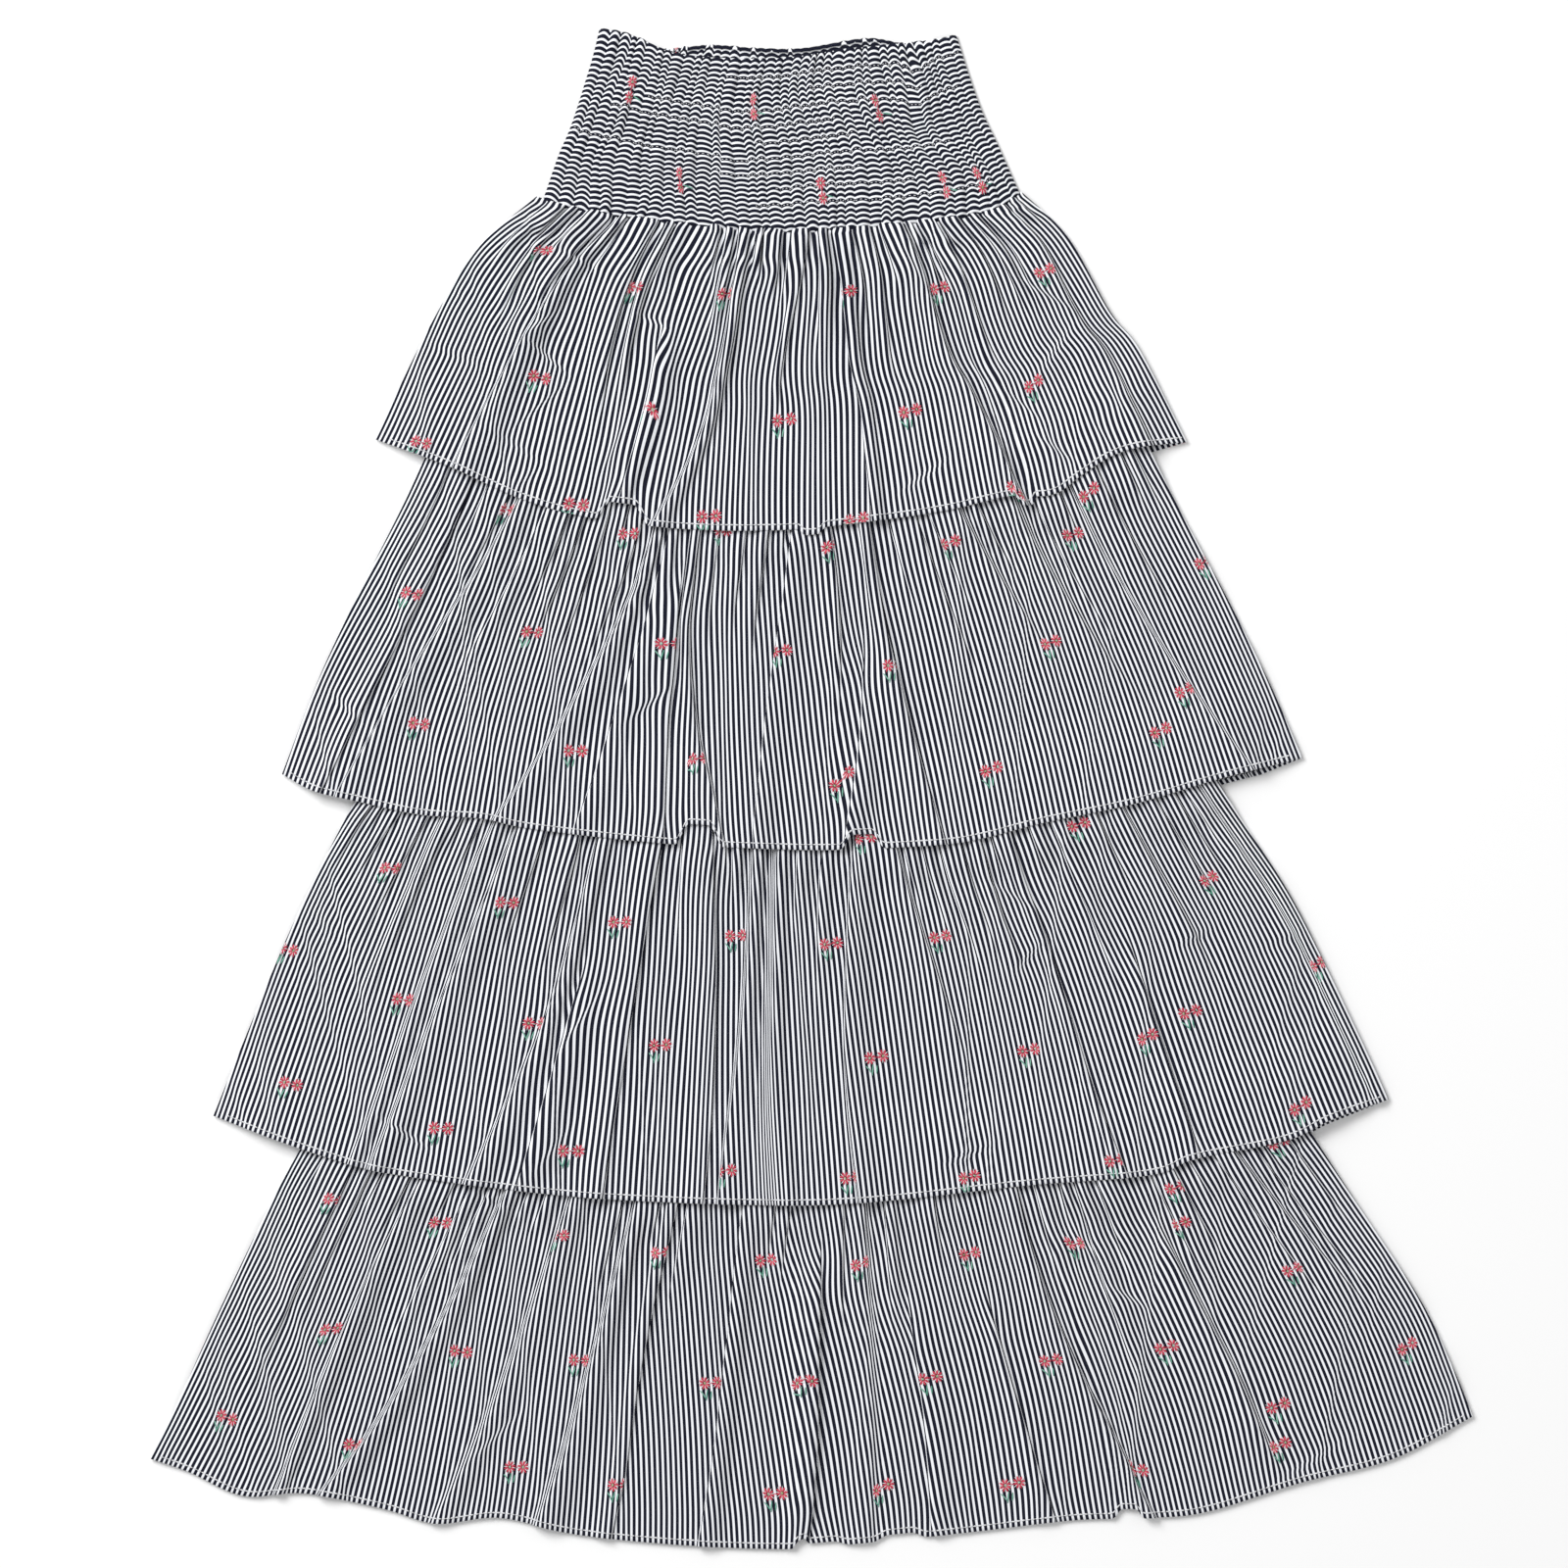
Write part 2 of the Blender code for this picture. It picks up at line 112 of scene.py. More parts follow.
def smooth_line(points, steps=10):
    """A function of the share of the length, along a smooth curve through the points."""
    known = np.array(points, float)
    known = np.vstack([2 * known[0] - known[1], known, 2 * known[-1] - known[-2]])
    t = np.linspace(0, 1, steps, endpoint=False)[:, None]
    drawn = []
    for before, start, end, after in zip(known, known[1:], known[2:], known[3:]):
        curve = 2 * start + (end - before) * t
        curve = curve + (2 * before - 5 * start + 4 * end - after) * t**2
        curve = curve + (3 * start - before - 3 * end + after) * t**3
        drawn.append(curve / 2)
    drawn = np.vstack(drawn + [known[-2:-1]])
    along = running(np.linalg.norm(np.diff(drawn, axis=0), axis=1))

    def at(share):
        share = np.asarray(share, float) * along[-1]
        return np.stack([np.interp(share, along, drawn[:, i]) for i in (0, 1)], axis=-1)

    return at


def patch(top, hem, left, right):
    """A function of the shares across and down that fills the area inside four edge curves."""

    def at(across, down):
        a, d = across[..., None], down[..., None]
        corners = (1 - a) * (1 - d) * top(0.0) + a * (1 - d) * top(1.0)
        corners = corners + (1 - a) * d * hem(0.0) + a * d * hem(1.0)
        return (1 - d) * top(across) + d * hem(across) + (1 - a) * left(down) + a * right(down) - corners

    return at


class Shade:
    """A socket in a material, so that shading is written as ordinary sums."""

    def __init__(self, material, socket=None):
        self.material = material
        self.socket = socket

    def node(self, kind, settings, inputs, output=0):
        made = self.material.node_tree.nodes.new(kind)
        for name, value in settings.items():
            setattr(made, name, value)
        for name, value in inputs.items():
            if isinstance(value, Shade):
                self.material.node_tree.links.new(value.socket, made.inputs[name])
            else:
                made.inputs[name].default_value = value
        return Shade(self.material, made.outputs[output])

    def sum(self, operation, first, second=0.0):
        return self.node("ShaderNodeMath", {"operation": operation}, {0: first, 1: second})

    def __add__(self, other):
        return self.sum("ADD", self, other)

    def __radd__(self, other):
        return self.sum("ADD", other, self)

    def __sub__(self, other):
        return self.sum("SUBTRACT", self, other)

    def __rsub__(self, other):
        return self.sum("SUBTRACT", other, self)

    def __mul__(self, other):
        return self.sum("MULTIPLY", self, other)

    def __rmul__(self, other):
        return self.sum("MULTIPLY", other, self)

    def __truediv__(self, other):
        return self.sum("DIVIDE", self, other)

    def between(self, low, high):
        """From 0 at low to 1 at high, with soft ends."""
        settings = {"interpolation_type": "SMOOTHSTEP"}
        return self.node("ShaderNodeMapRange", settings, {"Value": self, "From Min": low, "From Max": high})

    def grain(self, scale, detail=2.0):
        return self.node("ShaderNodeTexNoise", {}, {"Vector": self, "Scale": scale, "Detail": detail})

    def mix(self, first, second):
        """Two colours mixed by this value."""
        return self.node("ShaderNodeMix", {"data_type": "RGBA"}, {0: self, 6: first, 7: second}, output=2)

    def stretched(self, x, y):
        return self.node("ShaderNodeVectorMath", {"operation": "MULTIPLY"}, {0: self, 1: (x, y, 1.0)})


def new_material(name):
    material = bpy.data.materials.new(name)
    material.use_nodes = True
    return material, material.node_tree.nodes["Principled BSDF"], Shade(material)


def feed(surface, shade, socket):
    shade.material.node_tree.links.new(shade.socket, surface.inputs[socket])


stripe_pitch = 3.8


def striped_poplin(name, stripes_run, navy_share):
    """Crisp cotton with woven stripes: navy and white yarn, read from the cloth's own millimetres."""
    edge = 0.02
    navy = (0.0040, 0.0052, 0.0150, 1)
    navy_worn = (0.0080, 0.0105, 0.0280, 1)
    white = (0.90, 0.915, 0.95, 1)
    white_dull = (0.83, 0.845, 0.885, 1)
    material, surface, shade = new_material(name)
    axis, yarn_scale = (0, (3.2, 0.12)) if stripes_run == "down" else (1, (0.12, 3.2))
    flat = shade.node("ShaderNodeUVMap", {"uv_map": "cloth"}, {})
    over = flat.node("ShaderNodeSeparateXYZ", {}, {0: flat}, output=axis)
    yarn = flat.stretched(*yarn_scale).grain(1.0)
    place = shade.sum("FRACT", over / stripe_pitch)
    away = shade.sum("ABSOLUTE", place - 0.5)
    navy_here = 1 - away.between(navy_share / 2 - edge, navy_share / 2 + edge)
    white_here = yarn.between(0.35, 0.75).mix(white, white_dull)
    navy_yarn = yarn.between(0.4, 0.8).mix(navy, navy_worn)
    feed(surface, navy_here.mix(white_here, navy_yarn), "Base Color")
    surface.inputs["Roughness"].default_value = 0.82
    surface.inputs["Metallic"].default_value = 0.0
    surface.inputs["Specular IOR Level"].default_value = 0.2
    weave = flat.stretched(4.0, 4.0).grain(1.0) * 0.5 + yarn * 0.5
    bump = shade.node("ShaderNodeBump", {}, {"Strength": 0.25, "Distance": 0.0002, "Height": weave})
    feed(surface, bump, "Normal")
    return material


def finished(name, mesh, material, **maps):
    """The mesh as a piece of the scene, with its maps and its material."""
    for map_name, values in maps.items():
        uv_map = mesh.uv_layers.new(name=map_name)
        uv_map.data.foreach_set("uv", values.reshape(-1).astype(np.float32))
    mesh.materials.append(material)
    mesh.shade_smooth()
    piece = bpy.data.objects.new(name, mesh)
    scene.collection.objects.link(piece)
    return piece


def cloth_piece(name, cloth, material, strips, flip=False):
    """A mesh of the cloth's grid, with its own millimetres and a layout in strips as its two maps."""
    rows, columns = cloth.places.shape[:2]
    index = np.arange(rows * columns).reshape(rows, columns)
    corners = [index[:-1, :-1], index[1:, :-1], index[1:, 1:], index[:-1, 1:]]
    if flip:
        corners = corners[::-1]
    quads = np.stack(corners, axis=-1).reshape(-1, 4)
    mesh = bpy.data.meshes.new(name)
    mesh.from_pydata((cloth.places.reshape(-1, 3) * MM).tolist(), [], quads.tolist())
    steps = np.linalg.norm(np.diff(cloth.places, axis=1), axis=2).mean(axis=0)
    share = running(steps) / steps.sum()
    drops = np.linalg.norm(np.diff(cloth.places, axis=0), axis=2).mean(axis=1)
    height = 1 - running(drops) / drops.sum()
    strip = np.minimum((share[:-1] * strips).astype(int), strips - 1)
    starts = share[np.searchsorted(strip, np.arange(strips))]
    ends = np.append(starts[1:], 1.0)
    strip = np.broadcast_to(strip, (rows - 1, columns - 1)).reshape(-1)[:, None]
    at_column, at_row = quads % columns, quads // columns
    low, high = starts[strip], ends[strip]
    margin = 0.006
    inner = margin + (1 - 2 * margin) * (share[at_column] - low) / (high - low)
    upper = (strip + margin + (1 - 2 * margin) * height[at_row]) / strips
    layout = np.stack([inner, upper], axis=-1)
    flat = np.stack([cloth.across, cloth.down], axis=-1).reshape(-1, 2)[quads]
    return finished(name, mesh, material, OFBake=layout, cloth=flat)


def middle_depth(area):
    half, top, hem = np.array([0.5]), np.array([0.0]), np.array([1.0])
    return float(np.linalg.norm(area(half, hem) - area(half, top)))


Sag = namedtuple("Sag", "x half_width depth shares amounts")

band_cut = 520.0
rippled = 1.16
elastic_every, elastic_width = 9.5, 1.5
puckers = 40
pucker_steps = np.array([0.015, 0.16, 0.33, 0.5, 0.67, 0.84, 0.985])
sags = (
    Sag(64, 8, 5.5, (0, 0.15, 0.45, 0.6), (0.4, 1, 0.8, 0)),
    Sag(-48, 14, 2.5, (0.2, 0.5, 0.9), (0, 1, 0.3)),
)
band_row, band_back_row = 1.15, 2.3
band_hem_turn = ((0.7, 0.3), (1.1, 0.9), (0.6, 1.3))
band_top_turn = ((0.3, 0.4), (0.3, 1.0), (-1.5, 1.2))


def shirred(area, base, rise, row_step, steps, seed, side_fall):
    """A band of cloth in puckers, whose stripes bow between the valleys."""
    chance = np.random.default_rng(seed)
    depth = middle_depth(area)
    rows = int(depth / row_step) + 1
    width_noise = chance.uniform(-0.3, 0.3, puckers)
    wave = chance.uniform(0.8, 2.2, (4, puckers))
    phase = chance.uniform(0, 2 * np.pi, (4, puckers))
    high = chance.uniform(0.6, 1.25, puckers)
    bow = chance.uniform(0.8, 2.0, puckers)
    tilt = chance.uniform(-0.35, 0.35, puckers)
    inside = np.tile(steps, puckers)
    from_middle = 2 * inside - 1
    whose = np.repeat(np.arange(puckers), len(steps))
    places, across, down = [], [], []
    for row in range(rows):
        share = row / (rows - 1)
        turn = 2 * np.pi * share
        widths = 1 + width_noise + 0.15 * np.sin(turn * wave[0] + phase[0])
        ends = running(widths) / widths.sum()
        column = (ends[:-1, None] + (ends[1:] - ends[:-1])[:, None] * steps).reshape(-1)
        column[0], column[-1] = 0.0, 1.0
        plan = area(column, np.full(len(column), share))
        below = share * depth
        near_elastic = np.exp(-(((below + 3) % elastic_every - elastic_every / 2) / elastic_width) ** 2)
        lively = high * (1 + 0.35 * np.sin(turn * wave[1] + phase[1]))
        swell = lively[whose] * np.sin(np.pi * inside) ** 0.75 * (1 - 0.4 * near_elastic)
        edge = np.interp(below, (0, 1.2, depth - 1.2, depth), (0.35, 1, 1, 0.5))
        sides = np.interp(column, (0, 0.012, 0.988, 1), (0, 1, 1, 0))
        height = base + rise * swell * edge * sides - side_fall * (1 - sides)
        bowed = (bow * (1 + 0.4 * np.sin(turn * wave[2] + phase[2])))[whose] * (1 - from_middle**2)
        slanted = (tilt * np.cos(turn * wave[3] + phase[3]))[whose] * from_middle
        plan[:, 1] += bowed * np.interp(below, (0, 6, depth - 5, depth), (0.45, 0, 0, -0.45)) * sides
        sagged = 0.0
        for sag in sags:
            near = np.exp(-(((plan[:, 0] - sag.x) / sag.half_width) ** 2))
            sagged = sagged + sag.depth * near * np.interp(share, sag.shares, sag.amounts)
        sagged = sagged - np.sin(plan[:, 0] / 15.0 + 1.0) * np.interp(share, (0, 0.3, 1), (0.2, 1, 0.7))
        places.append(np.column_stack([plan, height]))
        across.append(column * band_cut)
        down.append((below + bowed + slanted - sagged) * rippled)
    return Cloth(np.array(places), np.array(across), np.array(down))


def outwards(edge, inner):
    """The level direction from the places beside an edge to the edge's own."""
    away = (edge - inner) * (1, 1, 0)
    return away / np.maximum(np.linalg.norm(away, axis=1), 1e-6)[:, None]


def hem_rolled(cloth, steps):
    """Rows added below the hem, each so far beyond it and below it, as a turned edge."""
    last = cloth.places[-1]
    away = outwards(last, cloth.places[-2])
    places = [last + away * out - (0, 0, fall) for out, fall in steps]
    down = [cloth.down[-1] + 0.4 * (k + 1) for k in range(len(steps))]
    return Cloth(
        np.concatenate([cloth.places, places]),
        np.concatenate([cloth.across, [cloth.across[-1]] * len(steps)]),
        np.concatenate([cloth.down, down]),
    )


def turned(cloth):
    """The same cloth the other way up its length, to work on its upper edge."""
    return Cloth(cloth.places[::-1], cloth.across[::-1], cloth.down[::-1])


band_area = patch(*(smooth_line(edge) for edge in (band_top, band_seam, band_left, band_right)))
band_front = shirred(band_area, 2.8, 2.1, band_row, pucker_steps, seed=21, side_fall=1.2)
band_front = hem_rolled(band_front, band_hem_turn)
band_front = turned(hem_rolled(turned(band_front), band_top_turn))
band_poplin = striped_poplin("band_poplin", "across", 0.62)
band_piece = cloth_piece("yoke_front_cloth", band_front, band_poplin, 1)
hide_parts("yoke_front")
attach(band_piece, "root")


# Band, back. The same shirred cloth, lying flat on the floor under the front, with its upper
# edge a little higher in the middle.
back_left = (band_back_top[0], *band_left[1:])
back_right = (band_back_top[-1], *band_right[1:])
back_edges = (band_back_top, band_seam, back_left, back_right)
back_area = patch(*(smooth_line(edge) for edge in back_edges))
back_steps = np.array([0.03, 0.27, 0.5, 0.73, 0.97])
back_stripe_start = 0.75
back_top_turn = ((0.2, -0.4), (0.1, -0.8), (-2.0, -0.9))
band_back = shirred(back_area, 0.35, 0.75, band_back_row, back_steps, seed=22, side_fall=0.0)
band_back = band_back._replace(down=band_back.down + back_stripe_start)
band_back = turned(hem_rolled(turned(band_back), back_top_turn))
band_back_piece = cloth_piece("yoke_back_cloth", band_back, band_poplin, 1)
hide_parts("yoke_back")
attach(band_back_piece, "root")


# Tiers, fronts. Four wide strips of the same poplin with the stripes down, each gathered at its
# top and sewn inside the one above, so that knife-sharp folds run down from the seams.
# A tier's hem is listed between the lower ends of its sides.
Fold = namedtuple("Fold", "top mid hem begin reach rise lean drop", defaults=(1.0,))
Dip = namedtuple("Dip", "x half_width rise")
Tier = namedtuple("Tier", "left right hem dips folds back_drop cut long gathers")

tiers = (
    Tier(
        left=((-169.5, 361), (-200, 335), (-222, 303), (-243, 264), (-266.7, 214)),
        right=((129, 364), (156, 338), (182, 292), (200, 269), (229, 212.4)),
        hem=(
            (-222, 197.5), (-179, 178), (-136, 166), (-77, 159), (-17, 158.5), (30, 163),
            (80, 170), (120, 179), (147, 180), (165, 192), (182, 203), (200, 209),
        ),
        dips=(Dip(-116, 17, 12), Dip(0, 9, -4), Dip(131, 7, -6)),
        folds=(
            Fold(8, 8, 8, 0, 0.55, 2.5, 1),
            Fold(18, 13, 9.6, 0, 0.9, 3.6, -1, 1.8),
            Fold(24.5, 25.3, 27, 0, 0.8, 2.6, 1, 1.2),
            Fold(34, 33, 31, 0.45, 1, 3, -1),
            Fold(42, 42, 34.5, 0, 1, 3.6, -1, 1.6),
            Fold(55, 50.5, 47, 0, 0.7, 2.6, 1),
            Fold(61, 61.7, 61, 0, 1, 3.2, -1),
            Fold(67, 66.5, 66.5, 0, 0.6, 2.4, 1),
            Fold(74, 75, 79.5, 0, 1, 4, 1, 1.6),
            Fold(89, 88.8, 90, 0, 0.45, 2.6, -1),
        ),
        back_drop=4.0,
        cut=610.0,
        long=180.0,
        gathers=34,
    ),
    Tier(
        left=((-225, 228), (-247, 179), (-276, 121), (-301, 68), (-323.7, 9)),
        right=((193, 236), (222, 176), (253, 118), (279, 66), (299.7, 19)),
        hem=(
            (-305, -1), (-280, -7), (-240, -15.5), (-202, -18), (-170, -24.5), (-93, -33),
            (-27, -36.5), (18, -37), (79, -34), (105, -30), (140, -21), (197, -9), (250, 6.5),
        ),
        dips=(Dip(-69, 15, 13), Dip(31, 14, 9)),
        folds=(
            Fold(6, 6, 4, 0, 0.9, 2.6, 1),
            Fold(15.5, 10.2, 5.5, 0, 1, 3.4, -1, 1.8),
            Fold(25.5, 23.5, 18, 0, 0.55, 2.4, 1),
            Fold(34, 29, 21, 0, 0.95, 3.4, -1, 1.8),
            Fold(35.5, 32.7, 29, 0.1, 1, 3, -1),
            Fold(36.6, 36.4, 37.3, 0.3, 1, 3, 1),
            Fold(38, 38.2, 43.5, 0.1, 1, 3.6, 1, 1.4),
            Fold(52, 48.5, 46, 0, 1, 3, -1),
            Fold(54.5, 55.6, 52, 0, 0.7, 2.6, 1),
            Fold(58.4, 58.8, 55, 0.5, 1, 3, -1),
            Fold(59.6, 61.3, 64.5, 0, 1, 4, 1, 1.2),
            Fold(70.5, 78, 83, 0, 0.6, 2.8, 1, 1.6),
            Fold(79, 83.5, 92, 0, 0.8, 3.4, 1, 1.6),
        ),
        back_drop=4.0,
        cut=780.0,
        long=220.0,
        gathers=36,
    ),
    Tier(
        left=((-262.5, 21), (-290, -28), (-318, -85), (-342, -142), (-365.7, -200)),
        right=((231, 32), (262, -18), (295, -70), (332, -146), (352.5, -190)),
        hem=(
            (-332, -213), (-300, -224), (-264, -234), (-193, -244), (-120, -251), (-16, -254.5),
            (48, -251.5), (130, -242.5), (207, -236), (235, -226), (290, -215), (318, -202),
        ),
        dips=(),
        folds=(
            Fold(6, 2.5, 1, 0, 0.35, 2.2, 1),
            Fold(11, 9.3, 7, 0, 0.7, 2.8, -1, 1.4),
            Fold(15, 12.5, 11, 0, 0.3, 2.2, 1),
            Fold(20, 17, 13.8, 0, 1, 3.6, -1, 1.6),
            Fold(25.5, 24.4, 19, 0, 0.5, 2.4, 1),
            Fold(29, 27, 22, 0, 0.9, 3, -1, 1.4),
            Fold(31.5, 29, 26.2, 0.5, 1, 4, -1),
            Fold(35, 34, 33, 0, 1, 3.2, 1),
            Fold(40, 42, 41.5, 0, 1, 3, 1, 1.2),
            Fold(46.5, 45, 42.6, 0, 1, 3.2, -1, 2),
            Fold(49.5, 48, 48.6, 0, 1, 2.8, -1, 4),
            Fold(59, 55, 55, 0, 0.9, 3.4, -1, 1.4),
            Fold(61.5, 64, 67, 0, 0.75, 3, 1, 1.6),
            Fold(75, 75.2, 77, 0, 1, 2.8, 1),
            Fold(80.5, 81, 81.5, 0, 0.6, 3, -1),
            Fold(83.5, 83, 83.2, 0.5, 1, 2.6, 1),
            Fold(88, 89.5, 90, 0, 0.65, 3, 1, 1.4),
            Fold(96, 97.5, 98, 0, 0.3, 2, -1),
        ),
        back_drop=2.0,
        cut=900.0,
        long=245.0,
        gathers=42,
    ),
    Tier(
        left=((-296, -191), (-328, -249), (-362, -319), (-390, -381), (-404.1, -410)),
        right=((288, -184), (330, -249), (372, -313), (393, -357), (404.1, -384)),
        hem=(
            (-381, -418), (-348, -432.5), (-311, -431), (-262, -440.5), (-230, -449.5), (-191, -446),
            (-145, -456), (-81, -462.5), (-13.5, -465), (35, -461), (99, -454.5), (160, -447.5),
            (208, -446), (243, -442), (299, -424.5), (355.5, -410),
        ),
        dips=(Dip(-6.5, 5, 3.5), Dip(5, 19, 3.0), Dip(54, 17, 3.5), Dip(194, 10, 6)),
        folds=(
            Fold(3, 1.8, 1.2, 0, 0.25, 2, -1),
            Fold(5, 5, 4.5, 0, 0.8, 2.8, 1),
            Fold(13.5, 10.8, 9.8, 0, 1, 3.4, -1, 1.4),
            Fold(21.5, 18.3, 12.9, 0, 1, 3.8, -1, 2.7),
            Fold(34, 32, 29.6, 0, 1, 3.8, -1, 2.2),
            Fold(37.5, 35.5, 34.8, 0, 1, 3, 1),
            Fold(45, 43, 41.5, 0, 1, 3.2, -1),
            Fold(49, 46.4, 45, 0, 0.35, 2.4, 1),
            Fold(51.6, 50.3, 49.2, 0.3, 1, 4.6, 1),
            Fold(60, 59, 59, 0.45, 1, 3, -1),
            Fold(66, 65.5, 67.6, 0.45, 1, 3, 1),
            Fold(70.5, 70.6, 75, 0, 1, 4, 1, 1.4),
            Fold(77, 76.4, 77.5, 0, 0.75, 3, -1, 1.2),
            Fold(82, 83, 85, 0.3, 0.9, 3.8, 1, 1.6),
            Fold(85.5, 87, 88, 0, 0.4, 2.8, 1),
            Fold(91, 95, 98.5, 0, 0.7, 3.2, 1, 1.4),
        ),
        back_drop=0.0,
        cut=1020.0,
        long=240.0,
        gathers=46,
    ),
)

tuck = 30.0
front_laid, front_tucked, front_wall = 1.5, 3.0, 1.3
hem_lift, hem_lift_at_seam = 6.2, 4.4
fullness = 1.15
fan = 0.0007

# A fold's section, from its gentle side to past its drop: how far out each point is, how much
# more with each millimetre that the edge hangs over, how high it is, and what cloth it hides.
fold_out = np.array([-1.8, 0.0, 1.0, 1.5, 2.0, 2.6, 3.6])
fold_over = np.array([0.0, 0.0, 0.5, 0.55, -0.5, 0.2, 0.6])
fold_high = np.array([0.93, 1.0, 0.86, 0.55, 0.22, 0.04, 0.0])
hidden_sharp = np.array([0.0, 0.0, 0.0, 0.0, 0.5, 0.5, 0.0])
hidden_packed = np.array([0.0, 0.0, 0.16, 0.21, 0.21, 0.21, 0.21])


def eased(share):
    """From 1 at share 0 to 0 at share 1, level at both ends."""
    return (1 + np.cos(np.pi * np.clip(share, 0, 1))) / 2


def dipped(hem, dips, drop=0.0):
    """The hem curve with its notches, and the back's extra length towards the right side."""
    base = smooth_line(hem)

    def at(share):
        places = base(share)
        share = np.asarray(share, float)
        for dip in dips:
            away = np.abs(places[..., 0] - dip.x) / dip.half_width
            places[..., 1] += dip.rise * eased((away - 0.4) / 0.6)
        places[..., 1] -= drop * np.clip((share - 0.5) / 0.3, 0, 1) * np.clip((1 - share) / 0.04, 0, 1)
        return places

    return at


def tier_area(number, drop):
    """The plan of a tier, whose top lies under the hem above it, or just under the band's lip."""
    tier = tiers[number]
    start, end = tier.left[0], tier.right[0]
    if number == 0:
        start, end = (start[0] + 1.5, start[1] + 1.5), (end[0] - 1.5, end[1] + 1.5)
        inside = [(x, y + 1.0) for x, y in band_seam[1:-1]]
    else:
        above = tiers[number - 1].hem
        inside = [(x, y + tuck) for x, y in above if start[0] + 14 < x < end[0] - 14]
    top = smooth_line([start, *inside, end])
    left = smooth_line([start, *tier.left[1:]])
    right = smooth_line([end, *tier.right[1:]])
    hem = (tier.left[-1], *tier.hem, tier.right[-1])
    return patch(top, dipped(hem, tier.dips, drop), left, right)


def row_length(area, down):
    places = area(np.linspace(0, 1, 80), np.full(80, down))
    return np.linalg.norm(np.diff(places, axis=0), axis=1).sum()


def with_gathers(folds, count, chance):
    """The tier's own folds, with small gathers put in the widest spaces at the seam."""
    packed_chance = 0.12
    lines = list(folds)
    blank = Fold(0, 0, 0, 0, 0, 0, 1)
    while len(lines) < count:
        edges = [blank, *lines, blank._replace(top=100, mid=100, hem=100)]
        spaces = [after.top - before.top for before, after in zip(edges, edges[1:])]
        widest = int(np.argmax(spaces))
        before, after = edges[widest], edges[widest + 1]
        part = chance.uniform(0.38, 0.62)
        top, mid, hem = (
            getattr(before, name) + part * (getattr(after, name) - getattr(before, name))
            for name in ("top", "mid", "hem")
        )
        lean = int(chance.choice((-1, 1)))
        if chance.random() < packed_chance:
            rise, drop = chance.uniform(1.2, 2.2), chance.uniform(1.4, 1.9)
            lines.insert(widest, Fold(top, mid, hem, 0.0, 1.0, rise, lean, drop))
        else:
            reach, rise = chance.uniform(0.2, 0.75) ** 1.3, chance.uniform(2.0, 3.4)
            lines.insert(widest, Fold(top, mid, hem, -1.0, reach, rise, lean))
    return lines


Crease = namedtuple("Crease", "length width amount")

steep_crease = Crease((8, 22), (1.0, 2.4), (1.6, 4.6))
long_crease = Crease((50, 130), (1.2, 3.4), (0.6, 2.6))


def creased(plan, count, steep_share, chance):
    """What crisp creases add to the cloth: how high they stand, and the cloth packed in them."""
    fades_by, step_rises, ridge_high, ridge_wide = 20, 0.32, 0.5, 2.5
    raised, packed = np.zeros(plan.shape[:2]), np.zeros(plan.shape[:2])
    low, high = plan.reshape(-1, 2).min(axis=0), plan.reshape(-1, 2).max(axis=0)
    for _ in range(count):
        middle = chance.uniform(low, high)
        if chance.random() < steep_share:
            kind = steep_crease
            aside = chance.choice((-1, 1)) * chance.uniform(0.14, 0.47)
            middle[0] = low[0] + (high[0] - low[0]) * (0.5 + aside)
            lean = chance.uniform(0.5, 1.2) * chance.choice((-1, 1))
        else:
            kind = long_crease
            lean = chance.normal(0, 0.06)
        lean -= middle[0] * fan
        length, width = chance.uniform(*kind.length), chance.uniform(*kind.width)
        away = plan - middle
        along = away[..., 0] * np.sin(lean) - away[..., 1] * np.cos(lean)
        beside = away[..., 0] * np.cos(lean) + away[..., 1] * np.sin(lean)
        ending = np.exp(-np.abs(beside) / fades_by - (along / length) ** 2)
        step = beside / np.sqrt(beside**2 + width**2) * ending / 2
        amount = chance.uniform(*kind.amount)
        packed += amount * step
        raised += amount * step_rises * chance.choice((-1, 1)) * step
        ridge = np.exp(-np.abs(beside) / ridge_wide - (along / length) ** 2)
        raised += ridge_high * chance.uniform(0, 1) * ridge
    return raised, packed


def column_of(lines, name):
    return np.array([[getattr(line, name)] for line in lines], float)


def fold_curves(lines, shares, widths, chance):
    """Where each fold line runs at each row: a bend through its three places, a little unsteady."""
    kinks, unsteady, least_apart = 6, 0.9, 3.4
    top, mid, hem = (column_of(lines, name) for name in ("top", "mid", "hem"))
    curve = top * (1 - shares) * (1 - 2 * shares) + mid * 4 * shares * (1 - shares)
    curve = (curve + hem * shares * (2 * shares - 1)) / 100
    for line in curve:
        at = np.linspace(0, 1, kinks) + chance.uniform(-0.07, 0.07, kinks)
        line += np.interp(shares, at, chance.uniform(-unsteady, unsteady, kinks)) / widths
    least = least_apart / widths
    for k in range(len(lines)):
        before = curve[k - 1] if k else 0 * least
        curve[k] = np.maximum(curve[k], before + least)
    for k in reversed(range(len(lines))):
        after = curve[k + 1] if k + 1 < len(lines) else 0 * least + 1
        curve[k] = np.minimum(curve[k], after - least)
    return curve


